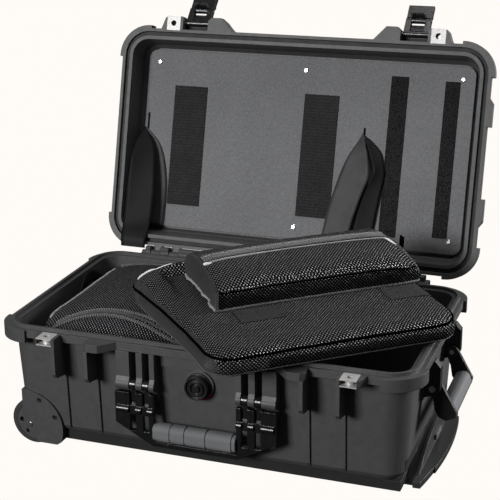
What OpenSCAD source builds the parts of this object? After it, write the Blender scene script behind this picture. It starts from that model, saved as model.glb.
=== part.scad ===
// Wheeled hard case for a laptop and its accessories, shown with the lid open.
// Origin: on the ground under the middle of the base. X runs along the front,
// Y runs to the back where the lid is hinged, Z is up. Millimetres.

/* [Case opening and walls] */
// Clear width of the opening
open_w = 502; // [440:1:560]
// Clear depth of the opening
open_d = 280; // [250:1:320]
// Radius of the opening's corners
open_r = 24; // [16:1:30]
// Thickness of the walls
wall = 4.5; // [3.5:0.5:6]
// How far the walls come in from the rim to the floor
draft = 6; // [2:1:9]
// Width of the flange outside the opening
flange_run = 15.5; // [13:0.5:20]
// Thickness of the flange
flange_t = 10; // [8:1:14]

/* [Base] */
// Height of the rim above the ground
rim_z = 168; // [160:1:200]
// Height of the underside of the floor
floor_z = 15.5; // [15:0.5:18]
// Thickness of the floor
floor_t = 4; // [3:0.5:6]
// Height where the dark skirt begins
skirt_z = 31; // [28:1:34]
// Height of the bead that presses on the seal
bead_h = 4; // [3:0.5:5]
// Width of the bead
bead_w = 4; // [3:0.5:5]
// Distance of the bead's middle from the flange's edge
bead_in = 7.5; // [7:0.5:9]

/* [Lid] */
// Inside depth of the lid
lid_depth = 44.5; // [40:0.5:60]
// Angle at which the lid stands open
lid_open = 105.3; // [90:0.1:110]
// Gap between the lid's rim and the base's rim
lid_gap = 0.3; // [0.2:0.1:0.6]
// Distance of the hinge axis behind the flange
hinge_out = 12.8; // [12:0.1:14]
// Height of the hinge axis below the rim
hinge_down = 3.4; // [3:0.1:4]
// Thickness of the panel in the lid
panel_t = 3; // [2:0.5:4]
// Depth of the panel's face behind the lid's rim
panel_in = 38.3; // [34:0.1:39]

/* [Latches] */
// Distance of each latch from the middle
latch_x = 158; // [150:1:165]
// Width of each latch
latch_w = 35; // [30:1:36]
// Reach of the guards and ears beyond the flange
guard_out = 18.5; // [17:0.5:20]
// Angle through which an open latch is thrown
latch_throw = 116; // [100:1:120]
// Distance of each padlock hole from the middle
padlock_x = 191; // [188:1:194]
// Radius of the padlock holes
padlock_r = 4; // [3:0.5:4.5]

/* [Handles] */
// Distance of each front handle arm from the middle
front_arm_x = 75.5; // [70:0.5:80]
// Height of the front handle's pivot
front_pivot_z = 117; // [112:1:122]
// Length of the front grip
front_grip_l = 106; // [96:1:108]
// Half the distance between the end handle's arms
end_arm_y = 53; // [48:1:56]
// Height of the end handle's pivot
end_pivot_z = 122; // [118:1:126]
// Length from the end handle's pivot to its grip
end_drop = 38; // [34:1:42]
// Angle at which the end handle hangs outward
end_lean = 24; // [20:1:30]

/* [Trolley] */
// Half the distance between the trolley tubes
tube_y = 60; // [54:1:66]
// Outer radius of the sliding tubes
tube_r = 5.2; // [4.5:0.1:5.5]
// Wall of the fixed tubes
tube_wall = 1.2; // [1:0.1:1.4]

/* [Wheels] */
// Radius of the wheels
wheel_r = 30.5; // [28:0.5:31]
// Width of the wheels
wheel_w = 23; // [20:1:24]
// Distance of the axle from the middle
wheel_x = 236; // [234:1:238]
// Radius of the wheel housings
housing_r = 48; // [46:0.5:49]
// Radius of the axle pins
axle_r = 4; // [3:0.5:5]

/* [Soft pieces] */
// Length of the sleeve
sleeve_l = 330; // [300:1:340]
// Width of the sleeve
sleeve_w = 244; // [230:1:250]
// Thickness of the sleeve
sleeve_t = 29; // [24:1:32]
// Length of the pouch
pouch_l = 275; // [240:1:280]
// Width of the pouch
pouch_w = 118; // [100:1:120]
// Height of the pouch
pouch_h = 42; // [34:1:46]

/* [Hidden] */

// Clearances
fit = 0.05;
gap = 0.3;
eps = 0.01;
cut = 1;

// Case body
half_w = open_w / 2;
half_d = open_d / 2;
wall_w = half_w + wall;
wall_d = half_d + wall;
flange_w = half_w + flange_run;
flange_d = half_d + flange_run;
flange_r = open_r + flange_run;
flange_z = rim_z - flange_t;
floor_top = floor_z + floor_t;
bottom_round = 6;
floor_slope = 14;
skirt_in = 3;
bead_r = flange_r - bead_in;
bumper_out = 4;
bumper_h = 16;
bumper_x = flange_w - 42;
bumper_y = flange_d - 42;

// Lid
lid_z = rim_z + lid_gap;
lid_in_z = lid_z + lid_depth;
lid_top = lid_in_z + wall;
panel_z = rim_z + panel_in;
panel_w = half_w - 11;
panel_d = half_d - 12;
screw_x = panel_w - 17;
screw_y = panel_d - 17;
hinge_y = flange_d + hinge_out;
hinge_z = rim_z - hinge_down;
knuckle_r = 6.5;
hinge_pin_r = 2.5;
hinge_x = 140;
knuckle_l = 14;
seal_w = bead_w + 2;
groove_d = bead_h + 3.2;

// Latches and guards
guard_d = flange_d + guard_out;
latch_half = latch_w / 2;
ear_in = latch_x - latch_half - 1.3;
ear_out = latch_x + latch_half + 1.3;
latch_y = -(guard_d - 8);
latch_z = rim_z + 13;
latch_pin_r = 2.2;
lever_down = 22;
ear_h = 20;
ear_tip = 18;
padlock_y = -(guard_d - 10);
plate_t = 1.3;
plate_w = 20;
plate_gap = flange_t - 2 * plate_t - 0.6;
lid_plate_gap = 12;

// Handles
front_pivot_y = -(wall_d + 12.5);
front_barrel_r = 7;
front_pin_r = 3;
front_plate_t = 6.5;
front_bottom_z = 41;
front_bar = 6;
arm_bar_z = front_pivot_z - 31;
end_pivot_x = flange_w - 0.5;
end_pin_r = 3;
arm_t = 5.4;
bracket_t = 12;
pad_x = wall_w + 0.5;

// Trolley
tube_or = tube_r + fit + tube_wall;
tube_z = tube_or + 2;
tube_left = -190;
runner_w = 2 * tube_or + 5;
trolley_x = wall_w + 1;
lip_z = 15;
lip_t = 8;
web_top = 49;
web_r = 211;
web_half = 112;
skirt_y = wall_d - draft - bottom_round * 0.6 - skirt_in - 8;

// Wheels
wheel_z = wheel_r + 0.2;
wheel_y = wall_d - 26.5;
well_y = wheel_y - wheel_w / 2 - 7.5;
cheek_y = wall_d - 2;
housing_foot = 9.5;
hub_r = wheel_r - 7;

// Front wall's distance from the middle at a height
function front_at(z) = wall_d - draft * (flange_z - z) / (flange_z - skirt_z - bottom_round);
function side_at(z) = front_at(z) - wall_d + wall_w;

// Rounded rectangle from its half sizes
module rounded(hw, hd, r) {
    translate([-hw, -hd + r]) square([2 * hw, 2 * (hd - r)]);
    translate([-hw + r, -hd]) square([2 * (hw - r), 2 * hd]);
    for (sx = [-1, 1], sy = [-1, 1])
        translate([sx * (hw - r), sy * (hd - r)]) circle(r, $fn = 48);
}

module slab(z, t, hw, hd, r) {
    translate([0, 0, z]) linear_extrude(t) rounded(hw, hd, r);
}

// Thin layer for lofting
module layer(z, inset, base_w, base_d, r) {
    translate([0, 0, z]) linear_extrude(eps) rounded(base_w - inset, base_d - inset, r - inset / 2, $fn = 32);
}

// Profile in Y and Z, extruded from one X to another
module side_profile(x0, x1) {
    translate([x0, 0, 0]) rotate([90, 0, 90]) linear_extrude(x1 - x0) children();
}

// Profile in X and Z, extruded from one Y to another
module front_profile(y0, y1) {
    translate([0, y1, 0]) rotate([90, 0, 0]) linear_extrude(y1 - y0) children();
}

module rod_x(x0, x1, y, z, r) {
    translate([x0, y, z]) rotate([0, 90, 0]) cylinder(h = x1 - x0, r = r, $fn = 48);
}

module rod_y(y0, y1, x, z, r) {
    translate([x, y0, z]) rotate([-90, 0, 0]) cylinder(h = y1 - y0, r = r, $fn = 48);
}

module both_x() {
    children();
    mirror([1, 0, 0]) children();
}

module both_y() {
    children();
    mirror([0, 1, 0]) children();
}

// Puts closed-lid geometry where the open lid holds it
module lid_pose() {
    translate([0, hinge_y, hinge_z]) rotate([-lid_open, 0, 0]) translate([0, -hinge_y, -hinge_z]) children();
}

// Puts closed-latch geometry where the thrown latch holds it, on the open lid
module latch_pose() {
    lid_pose() translate([0, latch_y, latch_z]) rotate([-latch_throw, 0, 0]) translate([0, -latch_y, -latch_z]) children();
}

// Corner bumpers that thicken the flange
module bumpers(z) {
    difference() {
        slab(z, bumper_h, flange_w + bumper_out, flange_d + bumper_out, flange_r + bumper_out);
        slab(z - cut, bumper_h + 2 * cut, wall_w - 1, wall_d - 1, open_r + wall - 1);
        translate([-bumper_x, -300, z - cut]) cube([2 * bumper_x, 600, bumper_h + 2 * cut]);
        translate([-400, -bumper_y, z - cut]) cube([800, 2 * bumper_y, bumper_h + 2 * cut]);
    }
}

// Plan of the slanted ear beside the middle of the front
module inner_ear_plan() {
    polygon([[ear_in - 38, -wall_d], [ear_in - 38, -flange_d + 1], [ear_in - 20, -guard_d],
        [ear_in - 5, -guard_d], [ear_in, -guard_d + 5], [ear_in, -wall_d]]);
}

// Plan of the ear that carries the padlock hole
module outer_ear_plan() {
    polygon([[ear_out, -wall_d], [ear_out, -guard_d + 1], [ear_out + 2, -guard_d],
        [ear_out + 23, -guard_d], [ear_out + 27, -guard_d + 3], [ear_out + 33, -flange_d + 1], [ear_out + 33, -wall_d]]);
}

// Guard that shields the side of a latch on the base
module guard(x0, x1) {
    side_profile(x0, x1) difference() {
        polygon([[-wall_d + 6, flange_z], [-guard_d, flange_z], [-guard_d, rim_z - 46],
            [-guard_d + 5, rim_z - 52], [-front_at(rim_z - 56) + 2, rim_z - 57], [-wall_d + 8, rim_z - 57]]);
    }
    side_profile(x0 + 0.5, x1 - 0.5)
        polygon([[-wall_d + 9, rim_z - 56], [-front_at(rim_z - 56) - 3, rim_z - 56],
            [-front_at(skirt_z + 6) - 3, skirt_z + 8], [-front_at(skirt_z + 6) + 1, skirt_z + 3], [-wall_d + 9, skirt_z + 5]]);
}

// Lugs that carry one side of the front handle
lug_spans = [[-23.5, -17], [-8, 0], [9, 26.5]];
front_slots = [-12.5, 4.5];
slot_w = 8;
module front_lugs() {
    for (s = lug_spans)
        side_profile(front_arm_x + s[0], front_arm_x + s[1]) {
            polygon([[-wall_d + 6, flange_z + 1], [-wall_d - 15, flange_z + 1], [-wall_d - 15, front_pivot_z + 10],
                [front_pivot_y - front_barrel_r + 1, front_pivot_z + 3], [front_pivot_y, front_pivot_z],
                [-wall_d - 6, front_pivot_z - 18], [-front_at(front_pivot_z - 34) + 1, front_pivot_z - 34], [-wall_d + 8, front_pivot_z - 34]]);
            translate([front_pivot_y, front_pivot_z]) circle(front_barrel_r, $fn = 48);
        }
}

// Notch, open to the front, that holds a padlock plate
module padlock_notch(z, h) {
    translate([padlock_x - plate_w / 2, -guard_d - cut, z]) cube([plate_w, plate_w + cut, h]);
}

module base_outer() {
    hull() {
        layer(flange_z + 2, 0, wall_w, wall_d, open_r + wall);
        layer(skirt_z + bottom_round, draft, wall_w, wall_d, open_r + wall);
        layer(skirt_z, draft + bottom_round * 0.6, wall_w, wall_d, open_r + wall);
    }
    slab(floor_z, skirt_z - floor_z + 4, wall_w - draft - bottom_round * 0.6 - skirt_in,
        wall_d - draft - bottom_round * 0.6 - skirt_in, open_r - 4);
    // Arched skirt that the trolley's grip lies against
    side_profile(wall_w - draft - 12, trolley_x - gap) intersection() {
        translate([0, web_top - web_r - 1]) circle(web_r, $fn = 96);
        translate([-skirt_y, floor_z]) square([2 * skirt_y, web_top]);
    }
    translate([0, -skirt_y - 8, floor_z]) cube([wall_w - draft - 4, 2 * (skirt_y + 8), skirt_z - floor_z - 3]);
    slab(flange_z, flange_t, flange_w, flange_d, flange_r);
    bumpers(rim_z - bumper_h);
    difference() {
        slab(rim_z - 2, bead_h + 2, flange_w - bead_in + bead_w / 2, flange_d - bead_in + bead_w / 2, bead_r + bead_w / 2);
        slab(rim_z - 3, bead_h + 4, flange_w - bead_in - bead_w / 2, flange_d - bead_in - bead_w / 2, bead_r - bead_w / 2);
    }
}

module wheel_wells(r, y0) {
    for (s = [-1, 1])
        rod_y(s > 0 ? y0 : -200, s > 0 ? 200 : -y0, -wheel_x, wheel_z, r);
}

module base_cavity() {
    difference() {
        hull() {
            layer(rim_z + bead_h + 2, 0, half_w, half_d, open_r);
            layer(skirt_z + bottom_round, draft, half_w, half_d, open_r);
            layer(floor_top, draft + floor_slope, half_w, half_d, open_r);
        }
        wheel_wells(housing_r + 0.3 + wall, well_y - wall);
    }
}

module hinge_knuckles(spans, to_y, z0, z1) {
    for (i = spans) {
        x0 = hinge_x + i * knuckle_l + gap / 2;
        x1 = hinge_x + (i + 1) * knuckle_l - gap / 2;
        rod_x(x0, x1, hinge_y, hinge_z, knuckle_r);
        side_profile(x0, x1) polygon([[to_y, z0], [hinge_y, z0], [hinge_y, z1], [to_y, z1]]);
    }
}

module base_shell() {
    color([0.22, 0.22, 0.225])
    difference() {
        union() {
            difference() {
                union() {
                    base_outer();
                    both_x() {
                        translate([0, 0, flange_z]) linear_extrude(flange_t) {
                            inner_ear_plan();
                            outer_ear_plan();
                        }
                        guard(ear_in - 6, ear_in - 1);
                        guard(ear_out, ear_out + 5);
                        front_lugs();
                        // Ribs on the back wall
                        for (x = [60, 115, 225])
                            side_profile(x - 5, x + 5)
                                polygon([[wall_d - 9, flange_z + 1], [flange_d - 3, flange_z + 1],
                                    [front_at(skirt_z + 8) + 4, skirt_z + 8], [wall_d - 9, skirt_z + 4]]);
                    }
                    // Pads for the end handle's brackets
                    both_y() translate([wall_w - 7, end_arm_y - 3, end_pivot_z - 14])
                        cube([pad_x - wall_w + 7, 22, flange_z - end_pivot_z + 15]);
                    // Ribs on the end with the wheels
                    both_y() front_profile(34, 44)
                        polygon([[-wall_w + 9, flange_z + 1], [-flange_w + 4, flange_z + 1],
                            [-side_at(skirt_z + 30) - 3, skirt_z + 40], [-side_at(skirt_z + 30) + 2, skirt_z + 30]]);
                    // Bare panel above the handle
                    front_profile(-wall_d - 1.2, -wall_d + 6)
                        polygon([[-50, flange_z - 18], [50, flange_z - 18], [50, flange_z + 1], [-50, flange_z + 1]]);
                    // Flat boss around the pressure valve
                    rod_y(-wall_d - 1.5, -wall_d + 8, 0, front_pivot_z + 5, 19);
                    // Runners that hold the trolley tubes under the floor
                    both_y() translate([tube_left - 12, tube_y - runner_w / 2, 0])
                        cube([wall_w - draft - 4 - tube_left + 12, runner_w, floor_z + 1]);
                    // Foot between the runners
                    translate([-35, -tube_y, 0]) cube([70, 2 * tube_y, floor_z + 1]);
                }
                base_cavity();
                wheel_wells(housing_r + 0.3, well_y);
            }
            both_x() hinge_knuckles([0, 2, 4], flange_d - 4, flange_z + 0.5, rim_z);
        }
        both_x() {
            rod_x(hinge_x - cut, hinge_x + 5 * knuckle_l + cut, hinge_y, hinge_z, hinge_pin_r + fit);
            rod_x(front_arm_x - 20.5, front_arm_x + 21.5, front_pivot_y, front_pivot_z, front_pin_r + fit);
            padlock_notch(flange_z - cut, flange_t + 2 * cut);
        }
        both_y() rod_x(tube_left - gap, wall_w + 5, tube_y, tube_z, tube_or + fit);
        rod_y(-wall_d - 5, -half_d + 10, 0, front_pivot_z + 5, 9 + fit);
    }
}

module base_padlock_inserts() {
    color([0.85, 0.85, 0.86])
    both_x() padlock_insert(rim_z - plate_t, -plate_t - plate_gap, flange_z, rim_z);
}

// Two plates joined by a sleeve around the padlock hole
module padlock_insert(z, depth_z, z0, z1) {
    difference() {
        union() {
            for (h = [z, z + depth_z])
                translate([padlock_x - plate_w / 2, -guard_d, h]) cube([plate_w, plate_w, plate_t]);
            translate([padlock_x, padlock_y, z0]) cylinder(h = z1 - z0, r = padlock_r + 1.2, $fn = 48);
        }
        translate([padlock_x, padlock_y, z0 - cut]) cylinder(h = z1 - z0 + 2 * cut, r = padlock_r, $fn = 48);
    }
}

module hinge_pins() {
    color([0.6, 0.6, 0.62])
    both_x() rod_x(hinge_x + 1, hinge_x + 5 * knuckle_l - 1, hinge_y, hinge_z, hinge_pin_r);
}

module front_handle_pins() {
    color([0.6, 0.6, 0.62])
    both_x() rod_x(front_arm_x - 20, front_arm_x + 21, front_pivot_y, front_pivot_z, front_pin_r);
}

bracket_y0 = end_arm_y + arm_t / 2 + gap;
module end_handle_brackets() {
    color([0.08, 0.08, 0.085])
    both_y() difference() {
        front_profile(bracket_y0, bracket_y0 + bracket_t) {
            polygon([[pad_x, flange_z - 0.2], [end_pivot_x + 2, flange_z - 0.2], [end_pivot_x + 9, flange_z - 8],
                [end_pivot_x + 9, end_pivot_z], [end_pivot_x, end_pivot_z - 9], [pad_x, end_pivot_z - 12]]);
            translate([end_pivot_x, end_pivot_z]) circle(9, $fn = 48);
        }
        rod_y(bracket_y0 - cut, bracket_y0 + bracket_t + cut, end_pivot_x, end_pivot_z, end_pin_r + fit);
    }
}

module end_handle_pins() {
    color([0.6, 0.6, 0.62])
    both_y() {
        rod_y(end_arm_y - arm_t / 2 - 1.5, bracket_y0 + bracket_t + 1, end_pivot_x, end_pivot_z, end_pin_r);
        rod_y(bracket_y0 + bracket_t, bracket_y0 + bracket_t + 1.2, end_pivot_x, end_pivot_z, end_pin_r + 1);
    }
}

module trolley_outer_tubes() {
    color([0.55, 0.55, 0.57])
    both_y() difference() {
        rod_x(tube_left, wall_w - draft - 4, tube_y, tube_z, tube_or);
        rod_x(tube_left + 2, wall_w, tube_y, tube_z, tube_r + fit);
    }
}

// Housing round one rear corner wheel; side is 1 at the back and -1 at the front
module wheel_housing(side) {
    color([0.2, 0.2, 0.205])
    difference() {
        mirror([0, side > 0 ? 0 : 1, 0]) difference() {
            intersection() {
                rod_y(well_y + gap, cheek_y, -wheel_x, wheel_z, housing_r);
                front_profile(well_y, cheek_y + cut)
                    polygon([[-wheel_x - 11, 150], [-wheel_x - 11, wheel_z + 5], [-wheel_x - 8, wheel_z - 3], [-wheel_x + 1, wheel_z - 14],
                        [-wheel_x + 13, housing_foot], [-wheel_x + 39, housing_foot], [-wheel_x + 60, housing_foot + 15], [-wheel_x + 60, 150]]);
            }
            // Pocket for the wheel
            rod_y(wheel_y - wheel_w / 2 - 1, wheel_y + wheel_w / 2 + 1, -wheel_x, wheel_z, wheel_r + 2.5);
            rod_y(well_y - 5, cheek_y + 5, -wheel_x, wheel_z, axle_r + fit);
            // Side that turns away towards the end
            translate([-wheel_x + 13, cheek_y, 0]) rotate([0, 0, 14]) translate([-60, 0, -10]) cube([60, 40, 160]);
            // Seats of the screws
            for (a = housing_screw_angles)
                translate([-wheel_x + (housing_r - 7) * cos(a), 0, wheel_z + (housing_r - 7) * sin(a)])
                    rod_y(cheek_y - 2, cheek_y + 2, 0, 0, 3.2);
        }
    }
}

module wheel_housing_front() { wheel_housing(-1); }
module wheel_housing_rear() { wheel_housing(1); }

housing_screw_angles = [24, 66];
module housing_screws() {
    color([0.1, 0.1, 0.1])
    both_y() for (a = housing_screw_angles)
        translate([-wheel_x + (housing_r - 7) * cos(a), 0, wheel_z + (housing_r - 7) * sin(a)]) difference() {
            rod_y(cheek_y - 2, cheek_y - 0.6, 0, 0, 3);
            rod_y(cheek_y - 1.4, cheek_y, 0, 0, 1.3);
        }
}

module axle(side) {
    color([0.8, 0.8, 0.82])
    mirror([0, side > 0 ? 0 : 1, 0]) {
        rod_y(well_y + 1, cheek_y - 4, -wheel_x, wheel_z, axle_r);
        rod_y(cheek_y - 5, cheek_y - 1.5, -wheel_x, wheel_z, axle_r - 1.2);
    }
}

module axle_front() { axle(-1); }
module axle_rear() { axle(1); }

valve_z = front_pivot_z + 5;
module valve_body() {
    color([0.1, 0.1, 0.105])
    difference() {
        union() {
            rod_y(-wall_d - 4, -half_d + 9.7, 0, valve_z, 9);
            rod_y(-wall_d - 4, -wall_d - 1.6, 0, valve_z, 16);
        }
        rod_y(-wall_d - 5, -half_d + 11, 0, valve_z, 5);
    }
}

module valve_nut() {
    color([0.1, 0.1, 0.105])
    translate([0, -half_d + 4.5, valve_z]) rotate([-90, 0, 0]) difference() {
        cylinder(h = 5, r = 14, $fn = 6);
        translate([0, 0, -cut]) cylinder(h = 5 + 2 * cut, r = 9 + fit, $fn = 48);
    }
}

module valve_knob() {
    color([0.12, 0.12, 0.125])
    difference() {
        union() {
            rod_y(-wall_d - 13, -wall_d - 4.3, 0, valve_z, 14.5);
            rod_y(-wall_d - 5, -wall_d + 4, 0, valve_z, 5 - fit);
        }
        // Raised arcs for the fingers
        for (r = [[12.5, 9.5], [7, 4.5]])
            difference() {
                rod_y(-wall_d - 14, -wall_d - 10.5, 0, valve_z, r[0]);
                rod_y(-wall_d - 15, -wall_d - 10, 0, valve_z, r[1]);
            }
    }
}

module valve_ring() {
    color([0.75, 0.12, 0.16])
    front_profile(-wall_d - 3, -wall_d - 1.5) translate([0, valve_z]) intersection() {
        difference() {
            circle(18.8, $fn = 96);
            circle(17.2, $fn = 96);
        }
        // Only its lower part shows, up to the sides
        polygon([[0, 0], [-40, -11], [-40, -40], [40, -40], [40, -19]]);
    }
}

bag_x0 = -half_w + draft + 14;
bag_x1 = 40;
bag_d = half_d - draft - 5;
bag_top = rim_z + 20;
module organizer_bag() {
    color([0.12, 0.12, 0.13])
    intersection() {
        translate([(bag_x0 + bag_x1) / 2, 0, floor_top + gap]) {
            linear_extrude(14) rounded((bag_x1 - bag_x0) / 2 - 6, bag_d - 10, 25);
            translate([0, 0, 13]) linear_extrude(bag_top - floor_top) rounded((bag_x1 - bag_x0) / 2, bag_d, 30);
        }
        translate([(bag_x0 + bag_x1) / 2 - 10, 0, bag_top - 360]) sphere(360, $fn = 64);
        // The bag is notched round the wheel wells
        difference() {
            translate([bag_x0 - 1, -half_d, 0]) cube([bag_x1 - bag_x0 + 2, open_d, bag_top + 2]);
            wheel_wells(housing_r + gap + wall + gap, well_y - wall - gap);
        }
    }
}

module organizer_loop() {
    color([0.1, 0.1, 0.1])
    translate([bag_x0 - 5.5, 45, rim_z - 18]) rotate([0, 90, 0]) difference() {
        cylinder(h = 5, r = 26, $fn = 48);
        translate([0, 0, -cut]) cylinder(h = 5 + 2 * cut, r = 18, $fn = 48);
        translate([0, -40, -cut]) cube([40, 80, 8]);
    }
}

module lid_outer() {
    hull() {
        layer(lid_z + flange_t - 2, 0, wall_w, wall_d, open_r + wall);
        layer(lid_top - 9, 3, wall_w, wall_d, open_r + wall);
        layer(lid_top, 9, wall_w, wall_d, open_r + wall);
    }
    slab(lid_z, flange_t, flange_w, flange_d, flange_r);
    bumpers(lid_z);
}

// Profile of the ears in Y and Z
module ear_side() {
    polygon([[-wall_d + 6, lid_z], [-guard_d - cut, lid_z], [-guard_d - cut, lid_z + 9],
        [-guard_d + 5, lid_z + ear_h], [-guard_d + 13, lid_z + ear_h], [-wall_d + 3, lid_z + 34], [-wall_d + 6, lid_z + 34]]);
}

module lid_shell() {
    color([0.22, 0.22, 0.225])
    lid_pose() difference() {
        union() {
            difference() {
                union() {
                    lid_outer();
                    both_x() {
                        intersection() {
                            translate([0, 0, lid_z - 1]) linear_extrude(ear_h + 20) {
                                inner_ear_plan();
                                outer_ear_plan();
                            }
                            side_profile(ear_in - 60, ear_out + 60) ear_side();
                        }
                        // Raised ribs that run over the lid in line with the latches
                        for (x = [ear_in - 16, ear_out + 2])
                            side_profile(x, x + 14)
                                polygon([[-wall_d + 4, lid_z + 30], [-wall_d + 8, lid_top + 4], [wall_d - 8, lid_top + 4], [wall_d - 4, lid_z + 30]]);
                    }
                    // Guards above the end handle's brackets
                    both_y() translate([0, 0, lid_z]) linear_extrude(flange_t + 4)
                        polygon([[wall_w - 4, end_arm_y - 5], [flange_w + 5, end_arm_y - 5], [flange_w + 5, end_arm_y + 26],
                            [flange_w - 1, end_arm_y + 34], [wall_w - 4, end_arm_y + 34]]);
                }
                hull() {
                    layer(lid_z - 2, 0, half_w, half_d, open_r);
                    layer(lid_in_z - 8, 4, half_w, half_d, open_r);
                    layer(lid_in_z, 9, half_w, half_d, open_r);
                }
                // Groove for the seal
                difference() {
                    slab(lid_z - cut, groove_d + cut, flange_w - bead_in + seal_w / 2, flange_d - bead_in + seal_w / 2, bead_r + seal_w / 2);
                    slab(lid_z - 2 * cut, groove_d + 3 * cut, flange_w - bead_in - seal_w / 2, flange_d - bead_in - seal_w / 2, bead_r - seal_w / 2);
                }
            }
            // Webs that close the space behind the latches
            both_x() side_profile(ear_in - 2, ear_out + 2)
                polygon([[-guard_d + 6.5, lid_z + ear_h - 1.6], [-guard_d + 13, lid_z + ear_h - 1.6], [-wall_d + 2, lid_z + 31],
                    [-wall_d + 4, lid_z + 34], [-guard_d + 13, lid_z + ear_h + 1], [-guard_d + 6.5, lid_z + ear_h + 1]]);
            // Bosses for the panel's screws
            for (x = [-1, 0, 1], y = [-1, 1])
                translate([x * screw_x, y * screw_y, panel_z + panel_t]) cylinder(h = lid_in_z - panel_z - panel_t + 1, r = 6, $fn = 48);
            both_x() hinge_knuckles([1, 3], flange_d - 4, lid_z, lid_z + 6);
        }
        both_x() {
            rod_x(hinge_x - cut, hinge_x + 5 * knuckle_l + cut, hinge_y, hinge_z, hinge_pin_r + fit);
            rod_x(ear_in - 15.5, ear_out + 4.5, latch_y, latch_z, latch_pin_r + fit);
            padlock_notch(lid_z - cut, ear_h + 20);
        }
    }
}

module lid_seal() {
    color([0.05, 0.05, 0.05])
    lid_pose() difference() {
        slab(lid_z + bead_h + 0.3, 2.6, flange_w - bead_in + seal_w / 2 - 0.3, flange_d - bead_in + seal_w / 2 - 0.3, bead_r + seal_w / 2 - 0.3);
        slab(lid_z + bead_h, 4, flange_w - bead_in - seal_w / 2 + 0.3, flange_d - bead_in - seal_w / 2 + 0.3, bead_r - seal_w / 2 + 0.3);
    }
}

// Slots in the panel that the straps hang from
strap_slots = [[-panel_w, -18], [panel_w - 148, -18]];

module lid_panel() {
    color([0.42, 0.42, 0.43])
    lid_pose() difference() {
        slab(panel_z, panel_t, panel_w, panel_d, 12);
        for (x = [-1, 0, 1], y = [-1, 1])
            translate([x * screw_x, y * screw_y, panel_z - cut]) cylinder(h = panel_t + 2 * cut, r = 2.2, $fn = 48);
        translate([strap_slots[1][0] - 1.5, strap_slots[1][1] - 18, panel_z - cut]) cube([3, 36, panel_t + 2 * cut]);
        translate([strap_slots[0][0] + 4, strap_slots[0][1] - 18, panel_z - cut]) cube([3, 36, panel_t + 2 * cut]);
    }
}

module panel_screws() {
    color([0.9, 0.9, 0.9])
    lid_pose() for (x = [-1, 0, 1], y = [-1, 1])
        translate([x * screw_x, y * screw_y, 0]) {
            translate([0, 0, panel_z - 1.6]) cylinder(h = 1.6, r1 = 2.4, r2 = 4, $fn = 48);
            translate([0, 0, panel_z]) cylinder(h = panel_t, r = 2, $fn = 48);
        }
}

patch_t = 1.4;
module panel_patch(x, y0, y1, w) {
    color([0.06, 0.06, 0.065])
    lid_pose() translate([x - w / 2, y0, panel_z - patch_t]) cube([w, y1 - y0, patch_t]);
}

module loop_patch_left() { panel_patch(-panel_w + 69, -panel_d + 50, panel_d - 33, 50); }
module loop_patch_middle() { panel_patch(26.5, -panel_d + 50, panel_d - 33, 50); }
module hook_strip_inner() { panel_patch(panel_w - 104, -panel_d + 18, panel_d - 16, 24); }
module hook_strip_outer() { panel_patch(panel_w - 30.5, -panel_d + 21, panel_d - 21, 20); }

strap_t = 1.8;
module strap_left() {
    color([0.07, 0.07, 0.075])
    lid_pose() side_profile(-half_w + 9, -half_w + 45)
        polygon([[strap_slots[0][1], panel_z - 0.4], [40, panel_z - 16], [half_d - 8, lid_z + 10],
            [half_d - 8, lid_z + 10 + strap_t], [40, panel_z - 16 + strap_t], [strap_slots[0][1] + 2, panel_z - 0.4]]);
}

module strap_right() {
    color([0.07, 0.07, 0.075])
    lid_pose() {
        translate([strap_slots[1][0] - strap_t / 2, strap_slots[1][1] - 17, panel_z - 7])
            cube([strap_t, 34, 7 + panel_t + 1]);
        translate([strap_slots[1][0], strap_slots[1][1], panel_z - 7]) linear_extrude(strap_t)
            polygon([[-strap_t / 2, -17], [strap_t / 2, -17], [32, 40], [29, 50], [0, 124], [-44, 130], [-strap_t / 2, 17]]);
    }
}

module lid_padlock_inserts() {
    color([0.85, 0.85, 0.86])
    lid_pose() both_x() padlock_insert(lid_z, plate_t + lid_plate_gap, lid_z, lid_z + ear_h);
}

module latch_pins() {
    color([0.6, 0.6, 0.62])
    lid_pose() both_x() rod_x(ear_in - 15, ear_out + 4, latch_y, latch_z, latch_pin_r);
}

// Link that hangs from the lid and carries the lever
rivet_y = latch_y - 1;
rivet_z = latch_z - lever_down;
leg_w = 8;
module latch_link() {
    difference() {
        union() {
            rod_x(latch_x - latch_half, latch_x + latch_half, latch_y, latch_z, 4.6);
            for (x = [latch_x - latch_half, latch_x + latch_half - leg_w])
                side_profile(x, x + leg_w) {
                    polygon([[latch_y - 4, latch_z], [rivet_y - 3.4, rivet_z], [rivet_y + 3.4, rivet_z], [latch_y + 4, latch_z]]);
                    translate([rivet_y, rivet_z]) circle(3.6, $fn = 48);
                }
            // Web between the legs, with a bar across it
            translate([latch_x - latch_half + 1, latch_y - 4.2, latch_z - 15.5]) cube([latch_w - 2, 2, 15]);
            translate([latch_x - latch_half, latch_y - 5.4, latch_z - 11]) cube([latch_w, 4.5, 5]);
        }
        rod_x(latch_x - latch_half - cut, latch_x + latch_half + cut, latch_y, latch_z, latch_pin_r + fit);
        rod_x(latch_x - latch_half - cut, latch_x + latch_half + cut, rivet_y, rivet_z, 1.5 + fit);
    }
}

module latch_rivet() {
    rod_x(latch_x - latch_half + 0.5, latch_x + latch_half - 0.5, rivet_y, rivet_z, 1.5);
}

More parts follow.
